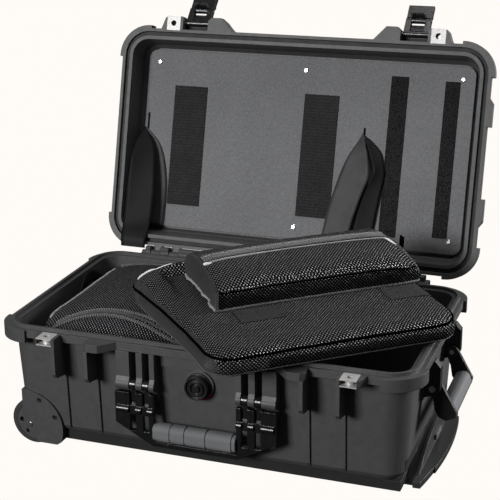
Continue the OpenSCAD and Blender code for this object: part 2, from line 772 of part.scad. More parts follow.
// Lever whose nose hooks under the base's flange
module latch_lever() {
    inner = latch_half - leg_w - gap;
    difference() {
        union() {
            rod_x(latch_x - inner, latch_x + inner, rivet_y, rivet_z, 4);
            side_profile(latch_x - inner, latch_x + inner)
                polygon([[rivet_y - 4, rivet_z], [rivet_y - 4, rivet_z - 8], [rivet_y + 4, rivet_z - 8],
                    [-flange_d + 5, flange_z - 2.5], [-flange_d + 5, flange_z - 0.8], [-flange_d - 0.8, flange_z - 0.8], [rivet_y + 4, rivet_z]]);
            side_profile(latch_x - latch_half, latch_x + latch_half) difference() {
                polygon([[rivet_y - 4.5, rivet_z - 4.6], [rivet_y - 6, rivet_z - 23], [rivet_y - 5, rivet_z - 25],
                    [rivet_y - 1, rivet_z - 25], [rivet_y + 0.5, rivet_z - 23], [rivet_y + 1, rivet_z - 4.6]]);
            }
            // Bar across the lever
            rod_x(latch_x - latch_half, latch_x + latch_half, rivet_y - 4.2, rivet_z - 8, 1.8);
        }
        rod_x(latch_x - latch_half - cut, latch_x + latch_half + cut, rivet_y, rivet_z, 1.5 + fit);
    }
}

module latch_left_link() { color([0.12, 0.12, 0.125]) latch_pose() mirror([1, 0, 0]) latch_link(); }
module latch_right_link() { color([0.12, 0.12, 0.125]) latch_pose() latch_link(); }
module latch_left_rivet() { color([0.6, 0.6, 0.62]) latch_pose() mirror([1, 0, 0]) latch_rivet(); }
module latch_right_rivet() { color([0.6, 0.6, 0.62]) latch_pose() latch_rivet(); }
module latch_left_lever() { color([0.12, 0.12, 0.125]) latch_pose() mirror([1, 0, 0]) latch_lever(); }
module latch_right_lever() { color([0.12, 0.12, 0.125]) latch_pose() latch_lever(); }

// Frame of the front handle, hanging folded
grip_half = front_grip_l / 2;
arm_in = front_arm_x - 18.5;
arm_out = front_arm_x + 27.5;
grip_z = front_bottom_z + front_bar + 13;
knuckle_spans = [[-16.5, -8.5], [0.5, 8.5]];
module front_handle_frame() {
    color([0.13, 0.13, 0.135])
    difference() {
        union() {
            difference() {
                front_profile(front_pivot_y - front_plate_t, front_pivot_y) difference() {
                    polygon([[-arm_out, front_pivot_z - 9], [-arm_out, front_bottom_z + 26], [-arm_in - 5, front_bottom_z + 4],
                        [-grip_half - 2, front_bottom_z], [grip_half + 2, front_bottom_z], [arm_in + 5, front_bottom_z + 4],
                        [arm_out, front_bottom_z + 26], [arm_out, front_pivot_z - 9], [arm_in - 4, front_pivot_z - 9],
                        [arm_in - 4, grip_z + 6], [-arm_in + 4, grip_z + 6], [-arm_in + 4, front_pivot_z - 9]]);
                    // Open slots below the raised bar
                    for (s = [-1, 1], x = front_slots)
                        translate([s * (front_arm_x + x) - slot_w / 2, front_bottom_z + 17])
                            square([slot_w, arm_bar_z - front_bottom_z - 23]);
                    // Room for the grip round its core
                    translate([-grip_half, front_bottom_z + front_bar]) square([2 * grip_half, grip_z - 6 - front_bottom_z - front_bar]);
                }
                // Recesses above the raised bar
                both_x() for (x = front_slots)
                    translate([front_arm_x + x - slot_w / 2, front_pivot_y - front_plate_t - cut, arm_bar_z + 6])
                        cube([slot_w, front_plate_t - 2.5 + cut, 40]);
            }
            both_x() for (s = knuckle_spans) {
                rod_x(front_arm_x + s[0] + gap, front_arm_x + s[1] - gap, front_pivot_y, front_pivot_z, front_barrel_r);
                side_profile(front_arm_x + s[0] + gap, front_arm_x + s[1] - gap)
                    polygon([[front_pivot_y - 2.5, front_pivot_z], [front_pivot_y, front_pivot_z],
                        [front_pivot_y, front_pivot_z - 12], [front_pivot_y - 2.5, front_pivot_z - 12]]);
            }
            // Raised bar across each arm
            both_x() for (x = [-18.5, -3.5, 17])
                rod_x(front_arm_x + x - (x > 0 ? 8 : 3.6), front_arm_x + x + (x > 0 ? 8 : 3.6), front_pivot_y - front_plate_t + 1, arm_bar_z, 4.6);
        }
        both_x() rod_x(front_arm_x - 25, front_arm_x + 25, front_pivot_y, front_pivot_z, front_pin_r + fit);
    }
}

module front_handle_grip() {
    color([0.42, 0.43, 0.44])
    difference() {
        union() {
            translate([-grip_half + 5, front_pivot_y - front_plate_t / 2, grip_z]) rotate([90, 0, 90])
                linear_extrude(front_grip_l - 10) rounded(9.5, 11.5, 8);
            // Slimmer ends
            translate([-grip_half + gap, front_pivot_y - front_plate_t / 2, grip_z]) rotate([90, 0, 90])
                linear_extrude(front_grip_l - 2 * gap) rounded(8.3, 10.3, 7);
        }
        // Grooves between the fingers
        for (x = [-30, -11, 16])
            translate([x, front_pivot_y - front_plate_t / 2, grip_z]) rotate([0, 90, 0]) difference() {
                translate([0, 0, -1]) cylinder(h = 2, r = 20, $fn = 48);
                translate([0, 0, -2]) rotate([0, 0, 90]) linear_extrude(4) rounded(8.5, 10.5, 7.2);
            }
        translate([-grip_half - cut, front_pivot_y - front_plate_t, grip_z - 6]) cube([2 * grip_half + 2 * cut, front_plate_t, 12]);
    }
}

// End handle, hanging outward from its brackets
module end_handle_place() {
    translate([end_pivot_x, 0, end_pivot_z]) rotate([0, -end_lean, 0]) children();
}

module end_handle_frame() {
    color([0.1, 0.1, 0.105])
    end_handle_place() {
        difference() {
            union() {
                both_y() front_profile(end_arm_y - arm_t / 2, end_arm_y + arm_t / 2) {
                    circle(8, $fn = 48);
                    polygon([[-8, 0], [-8.5, -end_drop + 22], [-12, -end_drop + 8], [-11, -end_drop - 2], [-5, -end_drop - 9],
                        [8, -end_drop - 9], [12, -end_drop - 3], [8, 0]]);
                }
                translate([-3.5, -end_arm_y, -end_drop - 5]) cube([7, 2 * end_arm_y, 8]);
            }
            rod_y(-end_arm_y - arm_t, end_arm_y + arm_t, 0, 0, end_pin_r + fit);
        }
    }
}

module end_handle_grip() {
    color([0.5, 0.5, 0.51])
    end_handle_place() difference() {
        translate([0.5, end_arm_y - arm_t / 2 - gap, -end_drop]) rotate([90, 0, 0])
            linear_extrude(2 * (end_arm_y - arm_t / 2 - gap)) rounded(10, 11, 8);
        translate([-3.5, -end_arm_y, -end_drop - 5]) cube([7, 2 * end_arm_y, 8]);
    }
}

trolley_back = trolley_x + 4;
module trolley_inner_tubes() {
    color([0.7, 0.7, 0.72])
    both_y() difference() {
        rod_x(tube_left + 15, trolley_x, tube_y, tube_z, tube_r);
        rod_x(tube_left + 14, trolley_x - 10, tube_y, tube_z, tube_r - 1.2);
    }
}

module trolley_grip() {
    color([0.12, 0.12, 0.125])
    difference() {
        union() {
            // Arched back plate
            side_profile(trolley_x, trolley_back) {
                intersection() {
                    translate([0, web_top - web_r]) circle(web_r, $fn = 96);
                    translate([-web_half, lip_z]) square([2 * web_half, web_top]);
                }
                for (s = [-1, 1])
                    translate([s * tube_y - 9, 1.5]) square([18, lip_z]);
            }
            // Bowed lip
            translate([0, 0, lip_z]) linear_extrude(lip_t) {
                intersection() {
                    translate([trolley_back + 17 - 576, 0]) circle(576, $fn = 96);
                    translate([trolley_x, -117]) square([60, 234]);
                }
                intersection() {
                    translate([trolley_back + 19 - 576, 0]) circle(576, $fn = 96);
                    translate([trolley_x, -74]) square([60, 148]);
                }
            }
        }
        translate([trolley_x - cut, -19, lip_z + lip_t + 4]) cube([cut + 3.2, 38, 12]);
        translate([trolley_x - cut, -15, lip_z + lip_t + 6]) cube([10, 30, 8]);
    }
}

module trolley_button() {
    color([0.3, 0.3, 0.31])
    {
        translate([trolley_x + 2.1, -18.5, lip_z + lip_t + 4.5]) cube([0.8, 37, 11]);
        translate([trolley_x + 2.5, -14.7, lip_z + lip_t + 6.3]) cube([4.5, 29.4, 7.4]);
    }
}

// One wheel: a tyre on a spoked hub with two bearings
module tyre(side) {
    color([0.1, 0.1, 0.1])
    rotate_wheel(side) difference() {
        cylinder(h = wheel_w, r = wheel_r, center = true, $fn = 96);
        cylinder(h = wheel_w + 2, r = hub_r, center = true, $fn = 96);
        for (z = [-1, 1])
            translate([0, 0, z * (wheel_w / 2)]) difference() {
                cylinder(h = 3, r = wheel_r + 2, center = true, $fn = 96);
                cylinder(h = 4, r = wheel_r - 1.5, center = true, $fn = 96);
            }
    }
}

module rotate_wheel(side) {
    translate([-wheel_x, side * wheel_y, wheel_z]) rotate([90, 0, 0]) children();
}

bearing_r = 11;
bearing_w = 7;
module wheel_hub(side) {
    color([0.3, 0.3, 0.31])
    rotate_wheel(side) difference() {
        cylinder(h = wheel_w - 1, r = hub_r, center = true, $fn = 96);
        cylinder(h = wheel_w + 2, r = 7, center = true, $fn = 48);
        for (z = [-1, 1])
            translate([0, 0, z * (wheel_w / 2 - bearing_w / 2)]) cylinder(h = bearing_w + 1, r = bearing_r, center = true, $fn = 48);
        for (a = [0 : 60 : 300])
            rotate(a) translate([17, 0, 0]) cylinder(h = wheel_w + 2, r = 3.6, center = true, $fn = 48);
    }
}

module wheel_bearings(side) {
    color([0.65, 0.65, 0.67])
    rotate_wheel(side) for (z = [-1, 1])
        translate([0, 0, z * (wheel_w / 2 - bearing_w / 2 - 0.5)]) difference() {
            cylinder(h = bearing_w, r = bearing_r, center = true, $fn = 48);
            cylinder(h = bearing_w + 2, r = axle_r + fit, center = true, $fn = 48);
        }
}

module wheel_front_tyre() { tyre(-1); }
module wheel_rear_tyre() { tyre(1); }
module wheel_front_hub() { wheel_hub(-1); }
module wheel_rear_hub() { wheel_hub(1); }
module wheel_front_bearings() { wheel_bearings(-1); }
module wheel_rear_bearings() { wheel_bearings(1); }

// Sleeve lies across the rim, its far side a little higher
sleeve_front = [51.8, -248.7];
sleeve_yaw = 41.1;
sleeve_tilt = 4.7;
module on_sleeve() {
    translate([sleeve_front[0], sleeve_front[1], rim_z + bead_h + gap + 0.5]) rotate([0, 0, sleeve_yaw]) rotate([sleeve_tilt, 0, 0]) children();
}

module laptop_sleeve() {
    color([0.12, 0.12, 0.13])
    on_sleeve() translate([sleeve_l / 2, sleeve_w / 2, 0]) linear_extrude(sleeve_t)
        rounded(sleeve_l / 2, sleeve_w / 2, 26);
}

pouch_x = 49;
pouch_y = 108;
module sleeve_patches() {
    color([0.05, 0.05, 0.055])
    on_sleeve() for (p = [[pouch_x + 21, 61], [pouch_x + 215, 52]])
        translate([p[0], pouch_y - 11, sleeve_t]) cube([p[1], 10.5, 1]);
}

module accessory_pouch() {
    color([0.1, 0.1, 0.105])
    on_sleeve() translate([pouch_x, pouch_y, sleeve_t + gap]) rotate([90, 0, 90]) linear_extrude(pouch_l)
        polygon([[0, 0], [0, pouch_h * 0.64], [pouch_w * 0.32, pouch_h * 0.92], [pouch_w * 0.55, pouch_h],
            [pouch_w * 0.88, pouch_h * 0.98], [pouch_w, pouch_h * 0.7], [pouch_w, 0]]);
}

module pouch_puller() {
    color([0.6, 0.6, 0.62])
    on_sleeve() translate([pouch_x + pouch_l + gap, pouch_y + pouch_w * 0.5, sleeve_t + pouch_h * 0.62]) cube([2, 9, 14]);
}

base_shell();
base_padlock_inserts();
hinge_pins();
front_handle_pins();
end_handle_brackets();
end_handle_pins();
trolley_outer_tubes();
wheel_housing_front();
wheel_housing_rear();
housing_screws();
axle_front();
axle_rear();
valve_body();
valve_nut();
organizer_bag();
organizer_loop();
lid_shell();
lid_seal();
lid_panel();
panel_screws();
loop_patch_left();
loop_patch_middle();
hook_strip_inner();
hook_strip_outer();
strap_left();
strap_right();
lid_padlock_inserts();
latch_pins();
latch_left_link();
latch_left_rivet();
latch_left_lever();
latch_right_link();
latch_right_rivet();
latch_right_lever();
front_handle_frame();
front_handle_grip();
end_handle_frame();
end_handle_grip();
trolley_inner_tubes();
trolley_grip();
trolley_button();
wheel_front_tyre();
wheel_front_hub();
wheel_front_bearings();
wheel_rear_tyre();
wheel_rear_hub();
wheel_rear_bearings();
valve_knob();
valve_ring();
laptop_sleeve();
sleeve_patches();
accessory_pouch();
pouch_puller();
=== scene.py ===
# Looks of the open hard case: materials, padded bag, sleeve and pouch, straps, light and camera.
import math

import bmesh
import bpy
from mathutils import Matrix, Vector
from mathutils.bvhtree import BVHTree


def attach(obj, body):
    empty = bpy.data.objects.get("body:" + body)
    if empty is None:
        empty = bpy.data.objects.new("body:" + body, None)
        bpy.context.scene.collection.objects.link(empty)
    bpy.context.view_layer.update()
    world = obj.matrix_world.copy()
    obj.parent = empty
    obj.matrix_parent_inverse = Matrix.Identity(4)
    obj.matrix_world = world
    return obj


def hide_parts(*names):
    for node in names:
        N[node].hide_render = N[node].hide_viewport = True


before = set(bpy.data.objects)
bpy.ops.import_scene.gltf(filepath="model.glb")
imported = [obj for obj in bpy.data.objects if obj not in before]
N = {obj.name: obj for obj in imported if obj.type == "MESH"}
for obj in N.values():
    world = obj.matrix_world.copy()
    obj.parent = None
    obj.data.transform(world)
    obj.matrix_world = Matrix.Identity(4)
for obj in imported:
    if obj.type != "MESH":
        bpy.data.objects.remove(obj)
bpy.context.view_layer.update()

SCENE = bpy.context.scene
MM = 0.001

# Frames of reference
HINGE = (168.3, 164.6)
LID_OPEN = 105.3
SLEEVE_AT = (0.0518, -0.2487, 0.1728)
SLEEVE_YAW = 41.1
SLEEVE_TILT = 4.7


def lid_matrix():
    hinge = Matrix.Translation((0, HINGE[0] * MM, HINGE[1] * MM))
    return hinge @ Matrix.Rotation(math.radians(-LID_OPEN), 4, "X") @ hinge.inverted()


def sleeve_matrix():
    return (
        Matrix.Translation(SLEEVE_AT)
        @ Matrix.Rotation(math.radians(SLEEVE_YAW), 4, "Z")
        @ Matrix.Rotation(math.radians(SLEEVE_TILT), 4, "X")
    )


LID = lid_matrix()
SLEEVE = sleeve_matrix()


# Materials
def new_material(name):
    m = bpy.data.materials.new(name)
    m.use_nodes = True
    nt = m.node_tree
    for n in list(nt.nodes):
        nt.nodes.remove(n)
    out = nt.nodes.new("ShaderNodeOutputMaterial")
    b = nt.nodes.new("ShaderNodeBsdfPrincipled")
    nt.links.new(b.outputs["BSDF"], out.inputs["Surface"])
    return m, nt, b


def math_node(nt, op, a, b=None, c=None):
    n = nt.nodes.new("ShaderNodeMath")
    n.operation = op
    for i, v in enumerate((a, b, c)):
        if v is None:
            continue
        if isinstance(v, (int, float)):
            n.inputs[i].default_value = v
        else:
            nt.links.new(v, n.inputs[i])
    return n.outputs[0]


def ramp(nt, src, stops, interpolation="LINEAR"):
    n = nt.nodes.new("ShaderNodeValToRGB")
    n.color_ramp.interpolation = interpolation
    el = n.color_ramp.elements
    while len(el) < len(stops):
        el.new(0.5)
    for e, (p, c) in zip(el, stops):
        e.position = p
        e.color = (c, c, c, 1) if isinstance(c, (int, float)) else (*c, 1)
    nt.links.new(src, n.inputs[0])
    return n.outputs[0]


def mapping(nt, space="Object", scale=(1, 1, 1), rotation=(0, 0, 0)):
    tc = nt.nodes.new("ShaderNodeTexCoord")
    mp = nt.nodes.new("ShaderNodeMapping")
    mp.inputs["Scale"].default_value = scale
    mp.inputs["Rotation"].default_value = rotation
    nt.links.new(tc.outputs[space], mp.inputs["Vector"])
    return mp.outputs["Vector"]


def noise_tex(nt, vec, scale, detail=3.0, rough=0.5):
    n = nt.nodes.new("ShaderNodeTexNoise")
    n.inputs["Scale"].default_value = scale
    n.inputs["Detail"].default_value = detail
    n.inputs["Roughness"].default_value = rough
    nt.links.new(vec, n.inputs["Vector"])
    return n.outputs["Fac"]


def bump(nt, height, strength, distance, normal=None):
    n = nt.nodes.new("ShaderNodeBump")
    n.inputs["Strength"].default_value = strength
    n.inputs["Distance"].default_value = distance
    nt.links.new(height, n.inputs["Height"])
    if normal is not None:
        nt.links.new(normal, n.inputs["Normal"])
    return n.outputs["Normal"]


def moulded(name, color, rough=0.55, grain=1400.0, strength=0.25, spread=0.25, specular=0.5, shaded_skirt=None,
             speck=0.35, edge=0.0009):
    """Moulded plastic: fine texture, mottled tone, scuffed roughness, soft edges, and painted shade on the
    bottom band of the walls.
    """
    m, nt, b = new_material(name)
    vec = mapping(nt)
    fine = noise_tex(nt, vec, grain, 2.0, 0.6)
    speckle = noise_tex(nt, vec, 430.0, 2.0, 0.7)
    mid = noise_tex(nt, vec, 90.0, 4.0, 0.6)
    big = noise_tex(nt, vec, 9.0, 3.0, 0.5)
    tone = math_node(nt, "ADD", math_node(nt, "MULTIPLY", mid, 0.5 - speck / 2),
                     math_node(nt, "MULTIPLY", big, 0.5 - speck / 2))
    tone = math_node(nt, "ADD", tone, math_node(nt, "MULTIPLY", speckle, speck))
    lo = tuple(c * (1 - spread) for c in color)
    hi = tuple(c * (1 + spread) for c in color)
    base = ramp(nt, tone, [(0.36, lo), (0.64, hi)])
    if shaded_skirt is not None:
        sep = nt.nodes.new("ShaderNodeSeparateXYZ")
        nt.links.new(vec, sep.inputs[0])
        # Painted shade: the bottom band of the walls, and the arch on the end wall too, take a near-black
        # colour
        arch = math_node(nt, "MULTIPLY", math_node(nt, "GREATER_THAN", sep.outputs["X"], shaded_skirt[1]),
                         math_node(nt, "LESS_THAN", sep.outputs["Z"], shaded_skirt[2]))
        low = math_node(nt, "MAXIMUM", math_node(nt, "LESS_THAN", sep.outputs["Z"], shaded_skirt[0]), arch)
        mix = nt.nodes.new("ShaderNodeMix")
        mix.data_type = "RGBA"
        nt.links.new(low, mix.inputs["Factor"])
        # Sockets are named by type, so the colour ones are taken by place
        nt.links.new(base, mix.inputs[6])
        # Near-black colour of the painted shade
        mix.inputs[7].default_value = (0.012, 0.012, 0.0125, 1)
        base = mix.outputs[2]
    nt.links.new(base, b.inputs["Base Color"])
    r = ramp(nt, math_node(nt, "ADD", math_node(nt, "MULTIPLY", fine, 0.4),
                           math_node(nt, "MULTIPLY", mid, 0.6)),
             [(0.3, rough - 0.07), (0.7, rough + 0.08)])
    nt.links.new(r, b.inputs["Roughness"])
    b.inputs["Specular IOR Level"].default_value = specular
    soft = nt.nodes.new("ShaderNodeBevel")
    soft.samples = 4
    soft.inputs["Radius"].default_value = edge
    n1 = bump(nt, fine, strength, 0.0004, soft.outputs["Normal"])
    n2 = bump(nt, speckle, strength * 0.5, 0.0006, n1)
    nt.links.new(bump(nt, big, 0.08, 0.002, n2), b.inputs["Normal"])
    return m


def metal(name, color, rough=0.25, streak=(1, 1, 1), strength=0.1, metallic=1.0):
    """Brushed or plated metal: streaks follow the scale that is stretched."""
    m, nt, b = new_material(name)
    vec = mapping(nt, scale=streak)
    s = noise_tex(nt, vec, 500.0, 4.0, 0.6)
    big = noise_tex(nt, mapping(nt), 60.0, 3.0, 0.5)
    lo = tuple(c * 0.8 for c in color)
    nt.links.new(ramp(nt, big, [(0.3, lo), (0.7, color)]), b.inputs["Base Color"])
    b.inputs["Metallic"].default_value = metallic
    nt.links.new(ramp(nt, s, [(0.3, max(rough - 0.08, 0.05)), (0.7, rough + 0.1)]), b.inputs["Roughness"])
    nt.links.new(bump(nt, s, strength, 0.0002), b.inputs["Normal"])
    return m


def mesh_fabric(name, dark=0.0015, light=0.05, pitch=0.0026, angle=45.0, gloss=0.6, sheen=0.02):
    """Spacer mesh: a diamond grid of small glossy threads over a black ground, laid on the UVs (metres)."""
    m, nt, b = new_material(name)
    vec = mapping(nt, "UV", (1, 1, 1), (0, 0, math.radians(angle)))
    sep = nt.nodes.new("ShaderNodeSeparateXYZ")
    nt.links.new(vec, sep.inputs[0])
    k = 2 * math.pi / pitch
    warp = noise_tex(nt, mapping(nt, "UV"), 60.0, 2.0, 0.5)
    wu = math_node(nt, "MULTIPLY_ADD", warp, 0.9, 0.0)
    u = math_node(nt, "COSINE", math_node(nt, "ADD", math_node(nt, "MULTIPLY", sep.outputs["X"], k), wu))
    v = math_node(nt, "COSINE", math_node(nt, "ADD", math_node(nt, "MULTIPLY", sep.outputs["Y"], k), wu))
    cell = math_node(nt, "MULTIPLY_ADD", math_node(nt, "ADD", u, v), 0.25, 0.5)
    fibre = noise_tex(nt, mapping(nt, "UV"), 2600.0, 2.0, 0.7)
    big = noise_tex(nt, mapping(nt, "UV"), 22.0, 3.0, 0.55)
    knot = ramp(nt, cell, [(0.55, 0.0), (0.85, 1.0)], "EASE")
    amount = math_node(nt, "MULTIPLY", knot, math_node(
        nt, "MULTIPLY", math_node(nt, "MULTIPLY_ADD", fibre, 0.9, 0.45),
        math_node(nt, "MULTIPLY_ADD", big, 1.2, 0.35)))
    nt.links.new(ramp(nt, amount, [(0.0, (dark, dark, dark * 1.05)), (1.0, (light, light, light * 1.06))]),
                 b.inputs["Base Color"])
    nt.links.new(ramp(nt, knot, [(0.0, 0.85), (1.0, 0.34)]), b.inputs["Roughness"])
    nt.links.new(ramp(nt, knot, [(0.0, 0.03), (1.0, gloss)]), b.inputs["Specular IOR Level"])
    b.inputs["Sheen Weight"].default_value = sheen
    b.inputs["Sheen Roughness"].default_value = 0.45
    n1 = bump(nt, cell, 1.0, 0.0012)
    nt.links.new(bump(nt, fibre, 0.3, 0.0003, n1), b.inputs["Normal"])
    return m


def cloth(name, color, thread=0.0009, rough=0.8, sheen=0.3, space="UV", strength=0.6, spread=0.4, gloss=0.4):
    """Plain woven webbing or binding: fine over and under threads."""
    m, nt, b = new_material(name)
    vec = mapping(nt, space)
    sep = nt.nodes.new("ShaderNodeSeparateXYZ")
    nt.links.new(vec, sep.inputs[0])
    k = 2 * math.pi / thread
    u = math_node(nt, "SINE", math_node(nt, "MULTIPLY", sep.outputs["X"], k))
    v = math_node(nt, "SINE", math_node(nt, "MULTIPLY", sep.outputs["Y"], k))
    weave = math_node(nt, "MULTIPLY_ADD", math_node(nt, "MULTIPLY", u, v), 0.5, 0.5)
    big = noise_tex(nt, mapping(nt, space), 40.0, 3.0, 0.5)
    fac = math_node(nt, "ADD", math_node(nt, "MULTIPLY", weave, 0.45), math_node(nt, "MULTIPLY", big, 0.55))
    lo = tuple(c * (1 - spread) for c in color)
    hi = tuple(c * (1 + spread) for c in color)
    nt.links.new(ramp(nt, fac, [(0.25, lo), (0.75, hi)]), b.inputs["Base Color"])
    b.inputs["Roughness"].default_value = rough
    b.inputs["Specular IOR Level"].default_value = gloss
    b.inputs["Sheen Weight"].default_value = sheen
    b.inputs["Sheen Roughness"].default_value = 0.5
    nt.links.new(bump(nt, weave, strength, 0.0003), b.inputs["Normal"])
    return m


def diagonal_weave(name, dark, light, pitch):
    """Close weave of slanted ribs, broken by fibres."""
    m, nt, b = new_material(name)
    vec = mapping(nt, "UV", (1, 1, 1), (0, 0, math.radians(52)))
    sep = nt.nodes.new("ShaderNodeSeparateXYZ")
    nt.links.new(vec, sep.inputs[0])
    k = 2 * math.pi / pitch
    rib = math_node(nt, "MULTIPLY_ADD", math_node(
        nt, "SINE", math_node(nt, "MULTIPLY", sep.outputs["X"], k)), 0.5, 0.5)
    cross = math_node(nt, "MULTIPLY_ADD", math_node(
        nt, "SINE", math_node(nt, "MULTIPLY", sep.outputs["Y"], k * 0.62)), 0.25, 0.75)
    fibre = noise_tex(nt, mapping(nt, "UV"), 1500.0, 2.0, 0.7)
    big = noise_tex(nt, mapping(nt, "UV"), 30.0, 3.0, 0.6)
    fac = math_node(nt, "MULTIPLY", math_node(nt, "MULTIPLY", rib, cross),
                    math_node(nt, "MULTIPLY", math_node(nt, "ADD", fibre, 0.35),
                              math_node(nt, "ADD", big, 0.35)))
    nt.links.new(ramp(nt, fac, [(0.05, (dark, dark, dark * 1.05)), (0.7, (light, light, light * 1.08))]),
                 b.inputs["Base Color"])
    b.inputs["Roughness"].default_value = 0.5
    b.inputs["Specular IOR Level"].default_value = 0.35
    b.inputs["Sheen Weight"].default_value = 0.04
    nt.links.new(bump(nt, rib, 0.8, 0.0008), b.inputs["Normal"])
    return m


def touch_fastener(name, dark, light, scale, rows=0.0):
    """Hook or loop tape: a dense pile of short loops, with faint knitted rows."""
    m, nt, b = new_material(name)
    vec = mapping(nt)
    v = nt.nodes.new("ShaderNodeTexVoronoi")
    v.inputs["Scale"].default_value = scale
    v.inputs["Randomness"].default_value = 1.0
    nt.links.new(vec, v.inputs["Vector"])
    fine = noise_tex(nt, vec, scale * 1.7, 3.0, 0.7)
    big = noise_tex(nt, vec, 35.0, 3.0, 0.6)
    fac = math_node(nt, "MULTIPLY", math_node(nt, "SUBTRACT", 1.0, v.outputs["Distance"]), fine)
    if rows:
        sep = nt.nodes.new("ShaderNodeSeparateXYZ")
        nt.links.new(vec, sep.inputs[0])
        w = math_node(nt, "SINE", math_node(nt, "MULTIPLY", sep.outputs["Z"], 2 * math.pi / rows))
        fac = math_node(nt, "MULTIPLY", fac, math_node(nt, "MULTIPLY_ADD", w, 0.18, 0.85))
    fac = math_node(nt, "MULTIPLY", fac, math_node(nt, "MULTIPLY_ADD", big, 0.8, 0.6))
    nt.links.new(ramp(nt, fac, [(0.12, (dark, dark, dark * 1.04)), (0.75, (light, light, light * 1.03))]),
                 b.inputs["Base Color"])
    b.inputs["Roughness"].default_value = 0.9
    b.inputs["Specular IOR Level"].default_value = 0.2
    b.inputs["Sheen Weight"].default_value = 0.03
    nt.links.new(bump(nt, fac, 1.0, 0.0008), b.inputs["Normal"])
    return m


MAT = {
    # The shell gets painted shade on the bottom band of its walls and on the end wall's arch
    "case": moulded("case_shell", (0.050, 0.050, 0.051), 0.5, 1500, 0.35, 0.14, 0.4,
                    shaded_skirt=(0.0312, 0.2478, 0.052)),
    "case_lid": moulded("case_lid", (0.052, 0.052, 0.053), 0.5, 1500, 0.35, 0.14, 0.4),
    "housing": moulded("wheel_housing_plastic", (0.046, 0.046, 0.047), 0.54, 1500, 0.4, 0.15, 0.4),
    "dark": moulded("black_plastic", (0.008, 0.008, 0.0085), 0.32, 1200, 0.25, 0.2, 0.5),
    "latch": moulded("latch_plastic", (0.007, 0.007, 0.0075), 0.24, 1200, 0.16, 0.2, 0.5),
    "panel": moulded("lid_panel_sheet", (0.110, 0.111, 0.116), 0.62, 900, 0.5, 0.30, 0.35, speck=0.6),
    "grip": moulded("grip_rubber", (0.12, 0.123, 0.127), 0.7, 1700, 0.35, 0.12, 0.3),
    "end_grip": moulded("end_grip_rubber", (0.085, 0.087, 0.09), 0.62, 1700, 0.3, 0.12, 0.35),
    "trolley": moulded("trolley_plastic", (0.022, 0.022, 0.023), 0.4, 1300, 0.25, 0.2, 0.5),
    "button": moulded("button_plastic", (0.09, 0.09, 0.092), 0.5, 1200, 0.2, 0.15, 0.5),
    "seal": moulded("seal_rubber", (0.012, 0.012, 0.012), 0.6, 1000, 0.3, 0.2, 0.3),
    "tyre": moulded("tyre_rubber", (0.03, 0.03, 0.031), 0.55, 800, 0.3, 0.2, 0.35),
    "hub": moulded("hub_plastic", (0.05, 0.05, 0.05), 0.5, 1000, 0.2, 0.15, 0.45),
    "red": moulded("red_ring", (0.42, 0.02, 0.045), 0.35, 900, 0.1, 0.15, 0.5),
    "stainless": metal("stainless_steel", (0.66, 0.65, 0.64), 0.42, (1, 12, 12), 0.1, 0.55),
    # Darker copy of the same steel: painted shade on the lid's padlock inserts
    "stainless_lid_shaded": metal("stainless_steel_lid_shaded", (0.30, 0.295, 0.29), 0.40, (1, 12, 12), 0.2, 0.5),
    "steel": metal("steel_pins", (0.62, 0.61, 0.6), 0.3, (6, 1, 6), 0.1),
    "bright": metal("bright_screws", (0.62, 0.62, 0.62), 0.22, (1, 1, 1), 0.05, 0.8),
    "tube": metal("anodised_tube", (0.6, 0.6, 0.61), 0.3, (1, 30, 30), 0.08),
    "mesh": mesh_fabric("spacer_mesh", 0.0008, 0.11, 0.0031, 45.0, 1.0, 0.02),
    "mesh_bag": mesh_fabric("spacer_mesh_bag", 0.002, 0.11, 0.0028, 45.0, 1.0, 0.02),
    # Darker copy of the spacer mesh: painted shade on the lower front faces of the sleeve and the pouch
    "mesh_shaded": mesh_fabric("spacer_mesh_dark", 0.0005, 0.022, 0.0031, 45.0, 0.35, 0.0),
    "weave": diagonal_weave("plain_weave", 0.002, 0.036, 0.0021),
    # Near-black cord: painted shade in sunken seams and in the zip's slit; also the real black zip puller
    "groove_shade_and_black": cloth("seam_groove", (0.001, 0.001, 0.001), 0.0009, 0.9, 0.0, "UV", 0.4, 0.3, 0.0),
    "bright_tape": cloth("bright_tape", (0.62, 0.61, 0.62), 0.0016, 0.5, 0.3, "UV", 0.4, 0.2),
    "binding": cloth("binding_tape", (0.045, 0.043, 0.044), 0.0012, 0.6, 0.3, "UV", 0.6, 0.5),
    "piping": cloth("light_piping", (0.22, 0.21, 0.21), 0.0014, 0.5, 0.4, "UV", 0.6, 0.5),
    "webbing": cloth("strap_webbing", (0.006, 0.006, 0.0065), 0.0030, 0.5, 0.0, "UV", 0.7, 0.6, 0.12),
    # Lighter copy of the same webbing: painted light on two of the strap legs
    "webbing_lit": cloth("strap_webbing_side", (0.032, 0.032, 0.034), 0.0030, 0.5, 0.05, "UV", 0.7, 0.5,
                          0.25),
    "loop": touch_fastener("loop_tape", 0.010, 0.075, 900, 0.0042),
    "hook": touch_fastener("hook_tape", 0.001, 0.05, 620),
    "zip": moulded("zip_coil", (0.09, 0.09, 0.092), 0.35, 900, 0.2, 0.2, 0.5),
    "thread": cloth("sewing_thread", (0.022, 0.022, 0.023), 0.0008, 0.6, 0.3),
}

